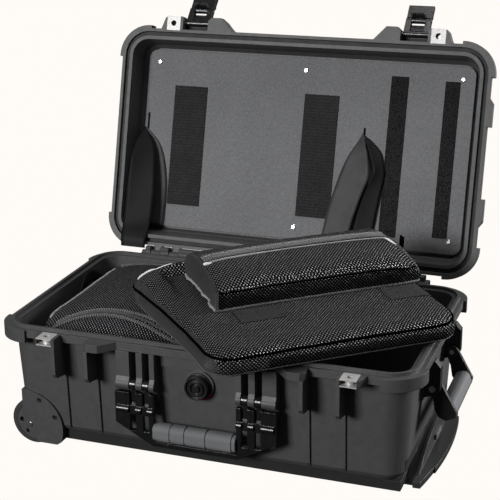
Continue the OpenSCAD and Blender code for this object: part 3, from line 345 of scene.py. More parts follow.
NODE_MATERIAL = dict(
    base_shell="case", base_padlock_inserts="stainless", hinge_pins="steel", front_handle_pins="steel",
    end_handle_brackets="dark", end_handle_pins="steel", trolley_outer_tubes="tube",
    wheel_housing_front="housing", wheel_housing_rear="housing", housing_screws="dark", axle_front="steel",
    axle_rear="steel", valve_body="dark", valve_nut="dark", lid_shell="case_lid", lid_seal="seal",
    lid_panel="panel", panel_screws="bright", loop_patch_left="loop", loop_patch_middle="loop",
    # The lid's padlock inserts take the darker steel copy, painted shade
    hook_strip_inner="hook", hook_strip_outer="hook", lid_padlock_inserts="stainless_lid_shaded", latch_pins="steel",
    latch_left_link="latch", latch_left_rivet="steel", latch_left_lever="latch", latch_right_link="latch",
    latch_right_rivet="steel", latch_right_lever="latch", front_handle_frame="latch",
    front_handle_grip="grip",
    end_handle_frame="dark", end_handle_grip="end_grip", trolley_inner_tubes="tube", trolley_grip="trolley",
    trolley_button="button", wheel_front_tyre="tyre", wheel_front_hub="hub", wheel_front_bearings="steel",
    wheel_rear_tyre="tyre", wheel_rear_hub="hub", wheel_rear_bearings="steel", valve_knob="dark",
    valve_ring="red", sleeve_patches="hook", pouch_puller="groove_shade_and_black",
)
for node, key in NODE_MATERIAL.items():
    if node in N:
        o = N[node]
        o.data.materials.clear()
        o.data.materials.append(MAT[key])


# Mesh helpers
def make_object(name, verts, faces, mat, smooth=True, uvs=None):
    me = bpy.data.meshes.new(name)
    me.from_pydata([tuple(v) for v in verts], [], faces)
    me.update()
    o = bpy.data.objects.new(name, me)
    SCENE.collection.objects.link(o)
    if mat is not None:
        me.materials.append(mat)
    if smooth:
        for p in me.polygons:
            p.use_smooth = True
    if uvs is not None:
        lay = me.uv_layers.new(name="UVMap")
        for p in me.polygons:
            for li in p.loop_indices:
                lay.data[li].uv = uvs[me.loops[li].vertex_index]
    return o


def box_uv(o, local):
    """Lays UVs in metres on each face from the side it looks to, in the frame local."""
    me = o.data
    inv = local.inverted()
    rot = inv.to_3x3()
    lay = me.uv_layers.get("UVMap") or me.uv_layers.new(name="UVMap")
    for p in me.polygons:
        n = rot @ p.normal
        ax = max(range(3), key=lambda i: abs(n[i]) * (1.35 if i == 2 else 1.0))
        for li in p.loop_indices:
            c = inv @ me.vertices[me.loops[li].vertex_index].co
            lay.data[li].uv = ((c.y, c.z) if ax == 0 else (c.x, c.z) if ax == 1 else (c.x, c.y))


def tube(name, pts, radius, mat, closed=False, sides=8, flat=1.0):
    """A round or oval cord of mesh along points; radius may be a list."""
    pts = [Vector(p) for p in pts]
    n = len(pts)
    rad = radius if isinstance(radius, (list, tuple)) else [radius] * n
    verts, faces, uvs = [], [], []
    length = 0.0
    normal = None
    for i, p in enumerate(pts):
        a = pts[(i - 1) % n] if closed or i > 0 else p
        c = pts[(i + 1) % n] if closed or i < n - 1 else p
        t = (c - a).normalized()
        if normal is None:
            normal = t.orthogonal().normalized()
            up = Vector((0, 0, 1))
            if abs(t.z) < 0.9:
                normal = (up - t * up.dot(t)).normalized()
        else:
            normal = (normal - t * normal.dot(t)).normalized()
        side = t.cross(normal)
        if i:
            length += (p - pts[i - 1]).length
        for k in range(sides):
            a_ = 2 * math.pi * k / sides
            verts.append(p + normal * math.cos(a_) * rad[i] * flat + side * math.sin(a_) * rad[i])
            uvs.append((length, rad[i] * 2 * math.pi * k / sides))
    rings = n if closed else n - 1
    for i in range(rings):
        j = (i + 1) % n
        for k in range(sides):
            l = (k + 1) % sides
            faces.append((i * sides + k, i * sides + l, j * sides + l, j * sides + k))
    if not closed:
        faces.append(tuple(range(sides))[::-1])
        faces.append(tuple((n - 1) * sides + k for k in range(sides)))
    return make_object(name, verts, faces, mat, True, uvs)


def ribbon(name, rows, thick, mat, across=6):
    """A strip from rows of (left edge, right edge, crown) points, with real thickness."""
    rows = smooth_rows(rows)
    verts, faces, uvs = [], [], []
    n = len(rows)
    length = 0.0
    for i, (a, b, crown) in enumerate(rows):
        pa, pb = rows[max(i - 1, 0)], rows[min(i + 1, n - 1)]
        along = ((pb[0] + pb[1]) - (pa[0] + pa[1])).normalized()
        nrm = (b - a).cross(along)
        nrm = nrm.normalized() if nrm.length > 1e-9 else Vector((0, -1, 0))
        if i:
            length += ((a + b) / 2 - (rows[i - 1][0] + rows[i - 1][1]) / 2).length
        for s in (0.5, -0.5):
            for k in range(across + 1):
                f = k / across
                edge = 1.0 if 0 < k < across else 0.75
                p = a.lerp(b, f) + nrm * (thick * s * edge + crown * 4 * f * (1 - f))
                verts.append(p)
                uvs.append((length, (b - a).length * f))
    w = across + 1
    for i in range(n - 1):
        r0, r1 = i * 2 * w, (i + 1) * 2 * w
        for k in range(across):
            faces.append((r0 + k, r0 + k + 1, r1 + k + 1, r1 + k))
            faces.append((r0 + w + k + 1, r0 + w + k, r1 + w + k, r1 + w + k + 1))
        faces.append((r0 + w, r0, r1, r1 + w))
        faces.append((r0 + across, r0 + w + across, r1 + w + across, r1 + across))
    e = (n - 1) * 2 * w
    for k in range(across):
        faces.append((k + 1, k, w + k, w + k + 1))
        faces.append((e + k, e + k + 1, e + w + k + 1, e + w + k))
    return make_object(name, verts, faces, mat, True, uvs)


def catmull(ps, t):
    n = len(ps) - 1
    i = min(int(t * n), n - 1)
    f = t * n - i
    p0, p1, p2, p3 = ps[max(i - 1, 0)], ps[i], ps[i + 1], ps[min(i + 2, n)]
    return 0.5 * ((2 * p1) + (p2 - p0) * f + (2 * p0 - 5 * p1 + 4 * p2 - p3) * f * f
                  + (3 * p1 - p0 - 3 * p2 + p3) * f ** 3)


def smooth_rows(rows, steps=8):
    a = [Vector(r[0]) for r in rows]
    b = [Vector(r[1]) for r in rows]
    c = [Vector((r[2] if len(r) > 2 else 0, 0, 0)) for r in rows]
    m = (len(rows) - 1) * steps
    return [(catmull(a, i / m), catmull(b, i / m), catmull(c, i / m).x) for i in range(m + 1)]


def curve_points(ps, steps=10):
    v = [Vector(p) for p in ps]
    m = (len(v) - 1) * steps
    return [catmull(v, i / m) for i in range(m + 1)]


def outline(hw, hd, r, per_corner=10, per_side=(14, 10)):
    """Points of a rounded rectangle, the same count for every size."""
    r = max(min(r, hw - 1e-4, hd - 1e-4), 1e-4)
    pts = []
    cs = [(hw - r, hd - r, 0), (-hw + r, hd - r, 90), (-hw + r, -hd + r, 180), (hw - r, -hd + r, 270)]
    for q, (cx, cy, a0) in enumerate(cs):
        for k in range(per_corner + 1):
            a = math.radians(a0 + 90 * k / per_corner)
            pts.append((cx + r * math.cos(a), cy + r * math.sin(a)))
        nx, ny, na = cs[(q + 1) % 4]
        a = math.radians(a0 + 90)
        p = (cx + r * math.cos(a), cy + r * math.sin(a))
        s = (nx + r * math.cos(a), ny + r * math.sin(a))
        steps = per_side[0] if q % 2 == 0 else per_side[1]
        for k in range(1, steps):
            f = k / steps
            pts.append((p[0] + (s[0] - p[0]) * f, p[1] + (s[1] - p[1]) * f))
    return pts


def slab_mesh(name, hw, hd, r, rings, place, mat):
    """Closed form lofted through rings of (inset, z), capped at both ends."""
    verts, faces = [], []
    for inset, z in rings:
        for x, y in outline(hw - inset, hd - inset, r - inset * 0.6):
            verts.append(place @ Vector((x, y, z)))
    n = len(outline(hw, hd, r))
    for i in range(len(rings) - 1):
        for k in range(n):
            l = (k + 1) % n
            faces.append((i * n + k, i * n + l, (i + 1) * n + l, (i + 1) * n + k))
    faces.append(tuple(range(n))[::-1])
    faces.append(tuple((len(rings) - 1) * n + k for k in range(n)))
    return make_object(name, verts, faces, mat)


def apply_all(o):
    dg = bpy.context.evaluated_depsgraph_get()
    me = bpy.data.meshes.new_from_object(o.evaluated_get(dg), depsgraph=dg)
    old = o.data
    o.modifiers.clear()
    o.data = me
    bpy.data.meshes.remove(old)
    for p in o.data.polygons:
        p.use_smooth = True


def remesh(o, voxel):
    m = o.modifiers.new("remesh", "REMESH")
    m.mode = "VOXEL"
    m.voxel_size = voxel
    apply_all(o)


def inflate(o, voxel, pressure, cap, frames=20):
    """Voxel remesh, cloth under pressure, movement capped, then one subdivision."""
    remesh(o, voxel)
    rest = [v.co.copy() for v in o.data.vertices]
    c = o.modifiers.new("cloth", "CLOTH")
    s = c.settings
    s.quality = 5
    s.mass = 0.3
    s.tension_stiffness = 25
    s.compression_stiffness = 25
    s.shear_stiffness = 10
    s.bending_stiffness = 1.5
    s.use_pressure = True
    s.uniform_pressure_force = pressure
    s.effector_weights.gravity = 0
    c.collision_settings.use_collision = False
    c.point_cache.frame_start = 1
    c.point_cache.frame_end = frames
    for f in range(1, frames + 1):
        SCENE.frame_set(f)
    apply_all(o)
    SCENE.frame_set(1)
    for v, p in zip(o.data.vertices, rest):
        d = v.co - p
        if d.length > cap:
            v.co = p + d * (cap / d.length)
    m = o.modifiers.new("sub", "SUBSURF")
    m.levels = m.render_levels = 1
    apply_all(o)


def surface(o):
    bm = bmesh.new()
    bm.from_mesh(o.data)
    t = BVHTree.FromBMesh(bm)
    bm.free()
    return t


def on_surface(tree, p, d, lift=0.0):
    """Where a ray from p along d meets the surface, lifted back along the ray."""
    hit, nrm, _, _ = tree.ray_cast(Vector(p), Vector(d).normalized())
    if hit is None:
        return Vector(p)
    return hit - Vector(d).normalized() * lift


# Laptop sleeve
# Sleeve: length, width, thickness, corner radius, in metres
SL, SW, ST, SR = 0.330, 0.244, 0.029, 0.034
# Pouch: corner on the sleeve, length and width
PX, PY, PL, PW = 0.049, 0.108, 0.275, 0.118
sleeve_place = SLEEVE @ Matrix.Translation((SL / 2, SW / 2, 0))


def step(a, b, t):
    t = min(max((t - a) / (b - a), 0.0), 1.0)
    return t * t * (3 - 2 * t)


def mouth_height(x):
    """Lift of the sleeve's mouth along its rear edge, in the sleeve's frame."""
    rise = 0.007 + 0.018 * step(-0.020, 0.062, x)
    return rise * (1 - step(0.085, 0.170, x))


def lifted(q):
    """Pulls the far left corner out and lifts the open mouth beside and behind the pouch."""
    back = step(0.02, SW, q.y)
    left = 1 - step(0.0, 0.16, q.x)
    x = q.x - 0.019 * back * left
    # The corner is folded, not round
    cx, cy = 0.034, SW - 0.034
    if q.x < cx and q.y > cy:
        d = math.hypot(q.x - cx, q.y - cy)
        if d > 1e-6:
            grow = 1 + 0.30 * step(0.010, 0.034, d) * abs(2 * (cx - q.x) * (q.y - cy)) / (d * d)
            x = cx + (q.x - cx) * grow - 0.019 * back * left
            q = Vector((q.x, cy + (q.y - cy) * grow, q.z))
    beside = step(0.150, 0.244, q.y) * (1 - step(0.030, 0.044, q.x))
    behind = step(0.226, 0.238, q.y) * step(0.030, 0.044, q.x)
    up = mouth_height(x) * (beside + behind) * step(0.006, 0.020, q.z)
    return Vector((x, q.y, q.z + up))


def side_material(o, local, mat, chosen):
    """Gives the faces that chosen picks, by normal and centre in the frame local, another material."""
    me = o.data
    me.materials.append(mat)
    k = len(me.materials) - 1
    inv = local.inverted()
    rot = inv.to_3x3()
    for p in me.polygons:
        if chosen(rot @ p.normal, inv @ p.center):
            p.material_index = k


def build_sleeve():
    rings = [(0.030, 0.0012), (0.010, 0.0010), (0.004, 0.0022), (0.0012, 0.0055),
             (0.0005, 0.011), (0.0008, 0.016), (0.0018, 0.0205), (0.0042, 0.0238),
             (0.010, 0.0262), (0.022, 0.0272), (0.045, 0.0276)]
    o = slab_mesh("laptop_sleeve_padded", SL / 2, SW / 2, SR, rings, sleeve_place, MAT["mesh"])
    inflate(o, 0.005, 3.0, 0.004)
    inv = SLEEVE.inverted()
    for v in o.data.vertices:
        q = inv @ v.co
        v.co = SLEEVE @ lifted(q)
    box_uv(o, SLEEVE)
    side_material(o, SLEEVE, MAT["weave"], lambda n, c: n.x < -0.62)
    # Painted shade: the sleeve's lower front face, right of its left corner, takes the darker mesh
    side_material(o, SLEEVE, MAT["mesh_shaded"], lambda n, c: n.y < -0.5 and c.x > 0.075 and c.z < 0.0185)
    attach(o, "sleeve")
    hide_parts("laptop_sleeve")
    return o


def ring_on(tree, hw, hd, r, z, place, lift):
    """A closed line round a padded form at height z, pressed on its surface."""
    inv = place.to_3x3()
    out = []
    pts = outline(hw, hd, r)
    for x, y in pts:
        c = Vector((x * 0.80, y * 0.74, z))
        d = Vector((x - c.x, y - c.y, 0)).normalized()
        p = place @ (Vector((x, y, z)) + d * 0.05)
        out.append(on_surface(tree, p, inv @ -d, lift))
    return out


sleeve = build_sleeve()
sleeve_tree = surface(sleeve)


def sleeve_drop(x, y, lift=0.0004):
    return on_surface(sleeve_tree, SLEEVE @ Vector((x, y, 0.09)), SLEEVE.to_3x3() @ Vector((0, 0, -1)), lift)


def patch_on(name, drop, x0, x1, y0, y1, thick, mat, nx=16, ny=8):
    """A thin tape laid on a padded surface, with closed edges."""
    top, low = [], []
    for j in range(ny + 1):
        for i in range(nx + 1):
            x, y = x0 + (x1 - x0) * i / nx, y0 + (y1 - y0) * j / ny
            top.append(drop(x, y, thick))
            low.append(drop(x, y, -0.0006))
    n = len(top)
    w = nx + 1
    faces = []
    for j in range(ny):
        for i in range(nx):
            a = j * w + i
            faces.append((a, a + 1, a + w + 1, a + w))
            faces.append((n + a, n + a + w, n + a + w + 1, n + a + 1))
    rim = (list(range(nx)) + [nx + w * j for j in range(ny)] + [ny * w + i for i in range(nx, 0, -1)]
           + [w * j for j in range(ny, 0, -1)])
    for k, a in enumerate(rim):
        b = rim[(k + 1) % len(rim)]
        faces.append((a, n + a, n + b, b))
    return make_object(name, top + low, faces, mat, False)


def dress_sleeve():
    parts = []
    # A black cord sunk in the seam: painted shade of the sunken seam line
    seam = ring_on(sleeve_tree, SL / 2, SW / 2, SR, 0.0238, sleeve_place, 0.0)
    parts.append(tube("sleeve_seam_groove", seam, 0.0018, MAT["groove_shade_and_black"], True, 6))
    low = ring_on(sleeve_tree, SL / 2, SW / 2, SR, 0.0052, sleeve_place, 0.0)
    parts.append(tube("sleeve_lower_seam", low, 0.0009, MAT["thread"], True, 6))
    # Light binding along the open mouth, with its folded end at the left tip
    pts, rad = [], []
    for i in range(41):
        f = i / 40
        x = -0.0135 + 0.0895 * f
        q = Vector((x, SW - 0.0045 - 0.001 * math.sin(3 * f), 0.09))
        if sleeve_tree.ray_cast(SLEEVE @ q, SLEEVE.to_3x3() @ Vector((0, 0, -1)))[0] is None:
            continue
        pts.append(sleeve_drop(q.x, q.y, 0.0010))
        rad.append(0.0022 - 0.0011 * f)
    tip = pts[0]
    fall = [tip + SLEEVE.to_3x3() @ Vector((0.0010 * k, -0.0022 * k, -0.0026 * k)) for k in (5, 4, 3, 2, 1)]
    parts.append(tube("sleeve_binding", fall + pts, [0.0012, 0.0016, 0.0019, 0.0021, 0.0023] + rad,
                      MAT["bright_tape"], False, 8, 0.75))
    for p in parts:
        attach(p, "sleeve")
    # Hook tape in front of the pouch
    for name, x0, x1 in (("left", PX + 0.020, PX + 0.074), ("right", PX + 0.214, PX + 0.266)):
        o = patch_on("sleeve_hook_patch_" + name, sleeve_drop, x0, x1, PY - 0.034, PY - 0.001, 0.0009,
                     MAT["hook"])
        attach(o, "sleeve")
        if name == "left":
            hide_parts("sleeve_patches")


def dotted(name, dark, light, pitch):
    """Stitched ridge: bright stitches along the cord's length on a dark ground."""
    m, nt, b = new_material(name)
    vec = mapping(nt, "UV")
    sep = nt.nodes.new("ShaderNodeSeparateXYZ")
    nt.links.new(vec, sep.inputs[0])
    s = math_node(nt, "MULTIPLY_ADD", math_node(
        nt, "SINE", math_node(nt, "MULTIPLY", sep.outputs["X"], 2 * math.pi / pitch)), 0.5, 0.5)
    big = noise_tex(nt, vec, 30.0, 3.0, 0.6)
    fac = math_node(nt, "MULTIPLY", s, math_node(nt, "MULTIPLY_ADD", big, 1.2, 0.2))
    nt.links.new(ramp(nt, fac, [(0.25, dark), (0.75, light)]), b.inputs["Base Color"])
    b.inputs["Roughness"].default_value = 0.6
    b.inputs["Sheen Weight"].default_value = 0.3
    nt.links.new(bump(nt, s, 0.8, 0.0006), b.inputs["Normal"])
    return m


MAT["piping_dots"] = dotted("stitched_ridge", 0.008, 0.11, 0.0032)
MAT["zip_tape"] = dotted("zip_tape_ribs", 0.003, 0.05, 0.0030)
dress_sleeve()

# Accessory pouch
POUCH = SLEEVE @ Matrix.Translation((PX, PY, ST + 0.0003))


def pouch_profile(f):
    """Outline in Y and Z at a share f of the pouch's length."""
    right = max(0.0, (f - 0.90) / 0.10)
    left = max(0.0, (0.03 - f) / 0.03)
    h = 1.0 - 0.42 * right ** 1.3 - 0.05 * left
    base = [(0.000, 0.0012), (-0.001, 0.012), (0.000, 0.0245), (0.006, 0.0300), (0.018, 0.0345),
            (0.034, 0.0390), (0.050, 0.0420), (0.066, 0.0430), (0.084, 0.0420), (0.100, 0.0385),
            (0.112, 0.0300), (0.1175, 0.018), (0.118, 0.0012)]
    pinch = 0.004 * right + 0.002 * left
    out = []
    for y, z in base:
        yy = min(max(y, -1) + pinch, 0.118 - pinch) if y > 0.059 else y + pinch
        out.append((yy, z * h if z > 0.014 else z))
    return out


def build_pouch():
    verts, faces = [], []
    cuts = [0.0, 0.004, 0.03, 0.08] + [0.08 + 0.82 * i / 14 for i in range(1, 15)] + [0.93, 0.96, 0.985, 1.0]
    n = len(pouch_profile(0))
    for f in cuts:
        for y, z in pouch_profile(f):
            verts.append(POUCH @ Vector((f * PL, y, z)))
    for i in range(len(cuts) - 1):
        for k in range(n):
            l = (k + 1) % n
            faces.append((i * n + k, i * n + l, (i + 1) * n + l, (i + 1) * n + k)[::-1])
    faces.append(tuple(range(n)))
    faces.append(tuple((len(cuts) - 1) * n + k for k in range(n))[::-1])
    o = make_object("accessory_pouch_padded", verts, faces, MAT["mesh"])
    inflate(o, 0.0032, 4.0, 0.004)
    box_uv(o, POUCH)
    side_material(o, POUCH, MAT["weave"], lambda n, c: c.x < 0.0045)
    # Painted shade: the pouch's lower front face takes the darker mesh
    side_material(o, POUCH, MAT["mesh_shaded"], lambda n, c: c.x >= 0.0045 and n.y < -0.5 and c.z < 0.0255)
    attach(o, "pouch")
    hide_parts("accessory_pouch")
    return o


pouch = build_pouch()
pouch_tree = surface(pouch)


def pouch_drop(x, y, lift=0.0005):
    return on_surface(pouch_tree, POUCH @ Vector((x, y, 0.08)), POUCH.to_3x3() @ Vector((0, 0, -1)), lift)


def dress_pouch():
    parts = []
    # Piping round the bottom edge, light at the left end
    place = POUCH @ Matrix.Translation((PL / 2, PW / 2, 0))
    ring = ring_on(pouch_tree, PL / 2, PW / 2, 0.012, 0.0042, place, 0.0002)
    parts.append(tube("pouch_piping", ring, 0.0016, MAT["binding"], True, 8))
    end = []
    for i in range(31):
        y = 0.004 + (PW - 0.008) * i / 30
        q = on_surface(pouch_tree, POUCH @ Vector((-0.03, y, 0.0042)), POUCH.to_3x3() @ Vector((1, 0, 0)),
                       0.0010)
        wave = Vector((-0.0007 + 0.0008 * math.sin(i * 0.9), 0, 0.0006 * math.sin(i * 1.3)))
        end.append(q + POUCH.to_3x3() @ wave)
    parts.append(tube("pouch_end_piping", end, 0.0018, MAT["piping"], False, 8))
    # Seam above the front face: a black cord of painted shade in the sunken seam
    seam = []
    for i in range(60):
        x = 0.006 + (PL - 0.014) * i / 59
        q = POUCH @ Vector((x, -0.05, 0.0262 - 0.004 * max(0.0, (i - 52) / 7)))
        seam.append(on_surface(pouch_tree, q, POUCH.to_3x3() @ Vector((0, 1, 0)), 0.0001))
    parts.append(tube("pouch_front_seam", seam, 0.0009, MAT["groove_shade_and_black"], False, 8))
    # Zip along the crest: light front edge, a black cord of painted shade in the slit, coil and a ribbed tape
    # behind
    y0 = 0.054
    across = (POUCH.to_3x3() @ Vector((0, 1, 0.0))).normalized()
    up = (POUCH.to_3x3() @ Vector((0, 0, 1))).normalized()
    along = (POUCH.to_3x3() @ Vector((1, 0, 0))).normalized()

    def zip_y(x, off=0.0):
        return y0 + off + 0.006 * math.sin(math.pi * x / PL)

    xs = [0.006 + (PL - 0.030) * i / 80 for i in range(81)]
    front = [pouch_drop(x, zip_y(x, -0.0032), 0.0008) for x in xs]
    parts.append(tube("pouch_zip_edge_front", front, [0.0013 if i < 26 else 0.0009 for i in range(81)],
                      MAT["piping"], False, 6))
    slit = [pouch_drop(x, zip_y(x, -0.0008), 0.0003) for x in xs]
    parts.append(tube("pouch_zip_slit", slit, 0.0013, MAT["groove_shade_and_black"], False, 6))
    rows = [(pouch_drop(x, zip_y(x, 0.0010), 0.0011), pouch_drop(x, zip_y(x, 0.0150), 0.0007), 0.0)
            for x in xs[::4]]
    parts.append(ribbon("pouch_zip_tape", rows, 0.0008, MAT["zip_tape"], 4))
    back = [pouch_drop(x, zip_y(x, 0.0160), 0.0006) for x in xs]
    parts.append(tube("pouch_zip_edge_back", back, 0.0010, MAT["piping_dots"], False, 6))
    stop = [front[0] - along * 0.0035, front[0] - along * 0.001, front[0] + along * 0.004,
            front[0] + along * 0.008]
    parts.append(tube("pouch_zip_stop", stop, [0.0010, 0.0022, 0.0020, 0.0008], MAT["bright_tape"], False, 8))
    verts, faces = [], []
    count = 118
    for i in range(count):
        x = 0.008 + (PL - 0.036) * i / (count - 1)
        c = pouch_drop(x, zip_y(x, 0.0008), 0.0012) + across * (0.0005 if i % 2 else -0.0005)
        b = len(verts)
        for dx, dy, dz in ((-1, -1, -1), (1, -1, -1), (1, 1, -1), (-1, 1, -1),
                           (-0.6, -0.8, 1), (0.6, -0.8, 1), (0.6, 0.8, 1), (-0.6, 0.8, 1)):
            verts.append(c + along * dx * 0.00062 + across * dy * 0.0011 + up * dz * 0.0005)
        faces += [(b, b + 3, b + 2, b + 1), (b + 4, b + 5, b + 6, b + 7), (b, b + 1, b + 5, b + 4),
                  (b + 1, b + 2, b + 6, b + 5), (b + 2, b + 3, b + 7, b + 6), (b + 3, b, b + 4, b + 7)]
    parts.append(make_object("pouch_zip_teeth", verts, faces, MAT["zip"], False))
    # Pull end and light edge at the right
    pull = [pouch_drop(PL - 0.030 + 0.002 * k, 0.051 - 0.0022 * k, 0.0016) for k in range(6)]
    parts.append(tube("pouch_pull_end", pull, [0.0008, 0.0016, 0.0019, 0.0019, 0.0016, 0.0008],
                      MAT["bright_tape"], False, 8, 0.6))
    edge = [pouch_drop(PL - 0.018 + 0.0135 * k / 20, 0.044 - 0.040 * (k / 20) ** 1.2, 0.0006)
            for k in range(21)]
    parts.append(tube("pouch_end_edge", edge, 0.0008, MAT["piping_dots"], False, 6))
    for p in parts:
        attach(p, "pouch")


dress_pouch()

# Organizer bag
# Bag: left and right end, and half its depth
BX0, BX1, BD = -0.231, 0.040, 0.129
WELL_X, WELL_Z, WELL_R, WELL_Y = -0.236, 0.0307, 0.0545, 0.093


def bag_height(x, y):
    """Top of the padded bag, in the row frame."""
    u = (x + 0.100) / 0.135
    v = y / BD
    crown = max(0.0, 1 - abs(u) ** 2.6) * max(0.0, 1 - abs(v) ** 3.0)
    # The front slope drops away in front of the curved zip
    arc = -0.092 - 1.9 * (x + 0.145) ** 2
    drop = 1 / (1 + math.exp((y - arc) / 0.005))
    return 0.158 + 0.026 * crown ** 0.8 - 0.008 * drop


def build_bag():
    verts, faces = [], []
    cx, hw = (BX0 + BX1) / 2, (BX1 - BX0) / 2
    rings = []
    pts = outline(hw, BD, 0.032, 8, (16, 16))
    n = len(pts)
    for inset, z in ((0.012, 0.0215), (0.002, 0.026), (0.0, 0.06), (0.0005, 0.10), (0.001, 0.135),
                     (0.002, 0.15)):
        rings.append([(x * (hw - inset) / hw + cx, y * (BD - inset) / BD, z) for x, y in pts])
    for s in (0.985, 0.96, 0.92, 0.86, 0.78, 0.69, 0.59, 0.48, 0.37, 0.26, 0.15, 0.06):
        row = []
        for x, y in pts:
            X, Y = x * s + cx, y * s
            row.append((X, Y, bag_height(X, Y)))
        rings.append(row)
    for r in rings:
        for p in r:
            verts.append(Vector(p))
    for i in range(len(rings) - 1):
        for k in range(n):
            l = (k + 1) % n
            faces.append((i * n + k, i * n + l, (i + 1) * n + l, (i + 1) * n + k))
    faces.append(tuple(range(n))[::-1])
    faces.append(tuple((len(rings) - 1) * n + k for k in range(n)))
    # Notches round the wheel wells at the lower left corners
    for v in verts:
        for s in (-1, 1):
            d = math.hypot(v.x - WELL_X, v.z - WELL_Z)
            if d < WELL_R and s * v.y > WELL_Y:
                v.y = s * WELL_Y
    o = make_object("organizer_bag_padded", verts, faces, MAT["mesh_bag"])
    inflate(o, 0.006, 3.0, 0.003, frames=14)
    box_uv(o, Matrix.Identity(4))
    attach(o, "base")
    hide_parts("organizer_bag")
    return o


bag = build_bag()
bag_tree = surface(bag)


def bag_drop(x, y, lift=0.0005):
    return on_surface(bag_tree, (x, y, 0.25), (0, 0, -1), lift)


def dress_bag():
    parts = []
    arcs = {
        "front_outer": ([(-0.214, -0.118), (-0.205, -0.112), (-0.185, -0.101), (-0.16, -0.094),
                         (-0.13, -0.093), (-0.10, -0.098), (-0.07, -0.106), (-0.03, -0.118),
                         (0.0, -0.122)], 0.0024),
        "front_inner": ([(-0.208, -0.106), (-0.198, -0.100), (-0.178, -0.091), (-0.155, -0.085),
                         (-0.13, -0.084), (-0.10, -0.088), (-0.07, -0.096), (-0.03, -0.107),
                         (0.0, -0.111)], 0.0022),
        "rear_outer": ([(-0.212, 0.098), (-0.19, 0.112), (-0.16, 0.119), (-0.12, 0.122),
                        (-0.08, 0.121), (-0.03, 0.117)], 0.0022),
        "rear_inner": ([(-0.205, 0.086), (-0.185, 0.100), (-0.16, 0.107), (-0.12, 0.110),
                        (-0.08, 0.109), (-0.03, 0.105)], 0.0018),
        "left_edge": ([(-0.222, -0.095), (-0.2235, -0.05), (-0.2235, 0.0), (-0.2225, 0.05),
                       (-0.218, 0.09)], 0.0018),
    }
    for name, (ps, r) in arcs.items():
        pts = [bag_drop(p.x, p.y, 0.0006) for p in curve_points([(x, y, 0) for x, y in ps], 8)]
        parts.append(tube("bag_seam_" + name, pts, r,
                          MAT["piping_dots"] if "edge" not in name else MAT["piping"], False, 8, 0.7))
    # Coil of the front zip between its two raised edges
    mid = [(-0.211, -0.112), (-0.201, -0.106), (-0.182, -0.096), (-0.157, -0.0895),
           (-0.13, -0.0885), (-0.10, -0.093), (-0.07, -0.101), (-0.03, -0.1125), (0.0, -0.1165)]
    pts = [bag_drop(p.x, p.y, 0.0008) for p in curve_points([(x, y, 0) for x, y in mid], 8)]
    parts.append(tube("bag_zip_coil", pts, 0.0019, MAT["thread"], False, 8, 0.7))
    for p in parts:
        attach(p, "base")


dress_bag()


def build_loop_handle():
    """Webbing handle on the bag's left side, standing a little off the bag."""
    rows = []
    ps = [(0.010, 0.148, 0.0006), (0.020, 0.155, 0.002), (0.034, 0.164, 0.0035),
          (0.048, 0.167, 0.004), (0.062, 0.164, 0.0035), (0.076, 0.155, 0.002), (0.086, 0.148, 0.0006)]
    for y, z, off in ps:
        x = -0.2318 - off
        rows.append(((x, y, z - 0.008), (x - 0.001, y, z + 0.008), 0.0))
    o = ribbon("bag_handle_webbing", rows, 0.0016, MAT["webbing"], 5)
    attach(o, "base")
    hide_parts("organizer_loop")


build_loop_handle()


# Lid straps
def lid_rows(rows):
    out = []
    for r in rows:
        a, b = LID @ (Vector(r[0]) * MM), LID @ (Vector(r[1]) * MM)
        out.append((a, b, (r[2] if len(r) > 2 else 0) * MM))
    return out


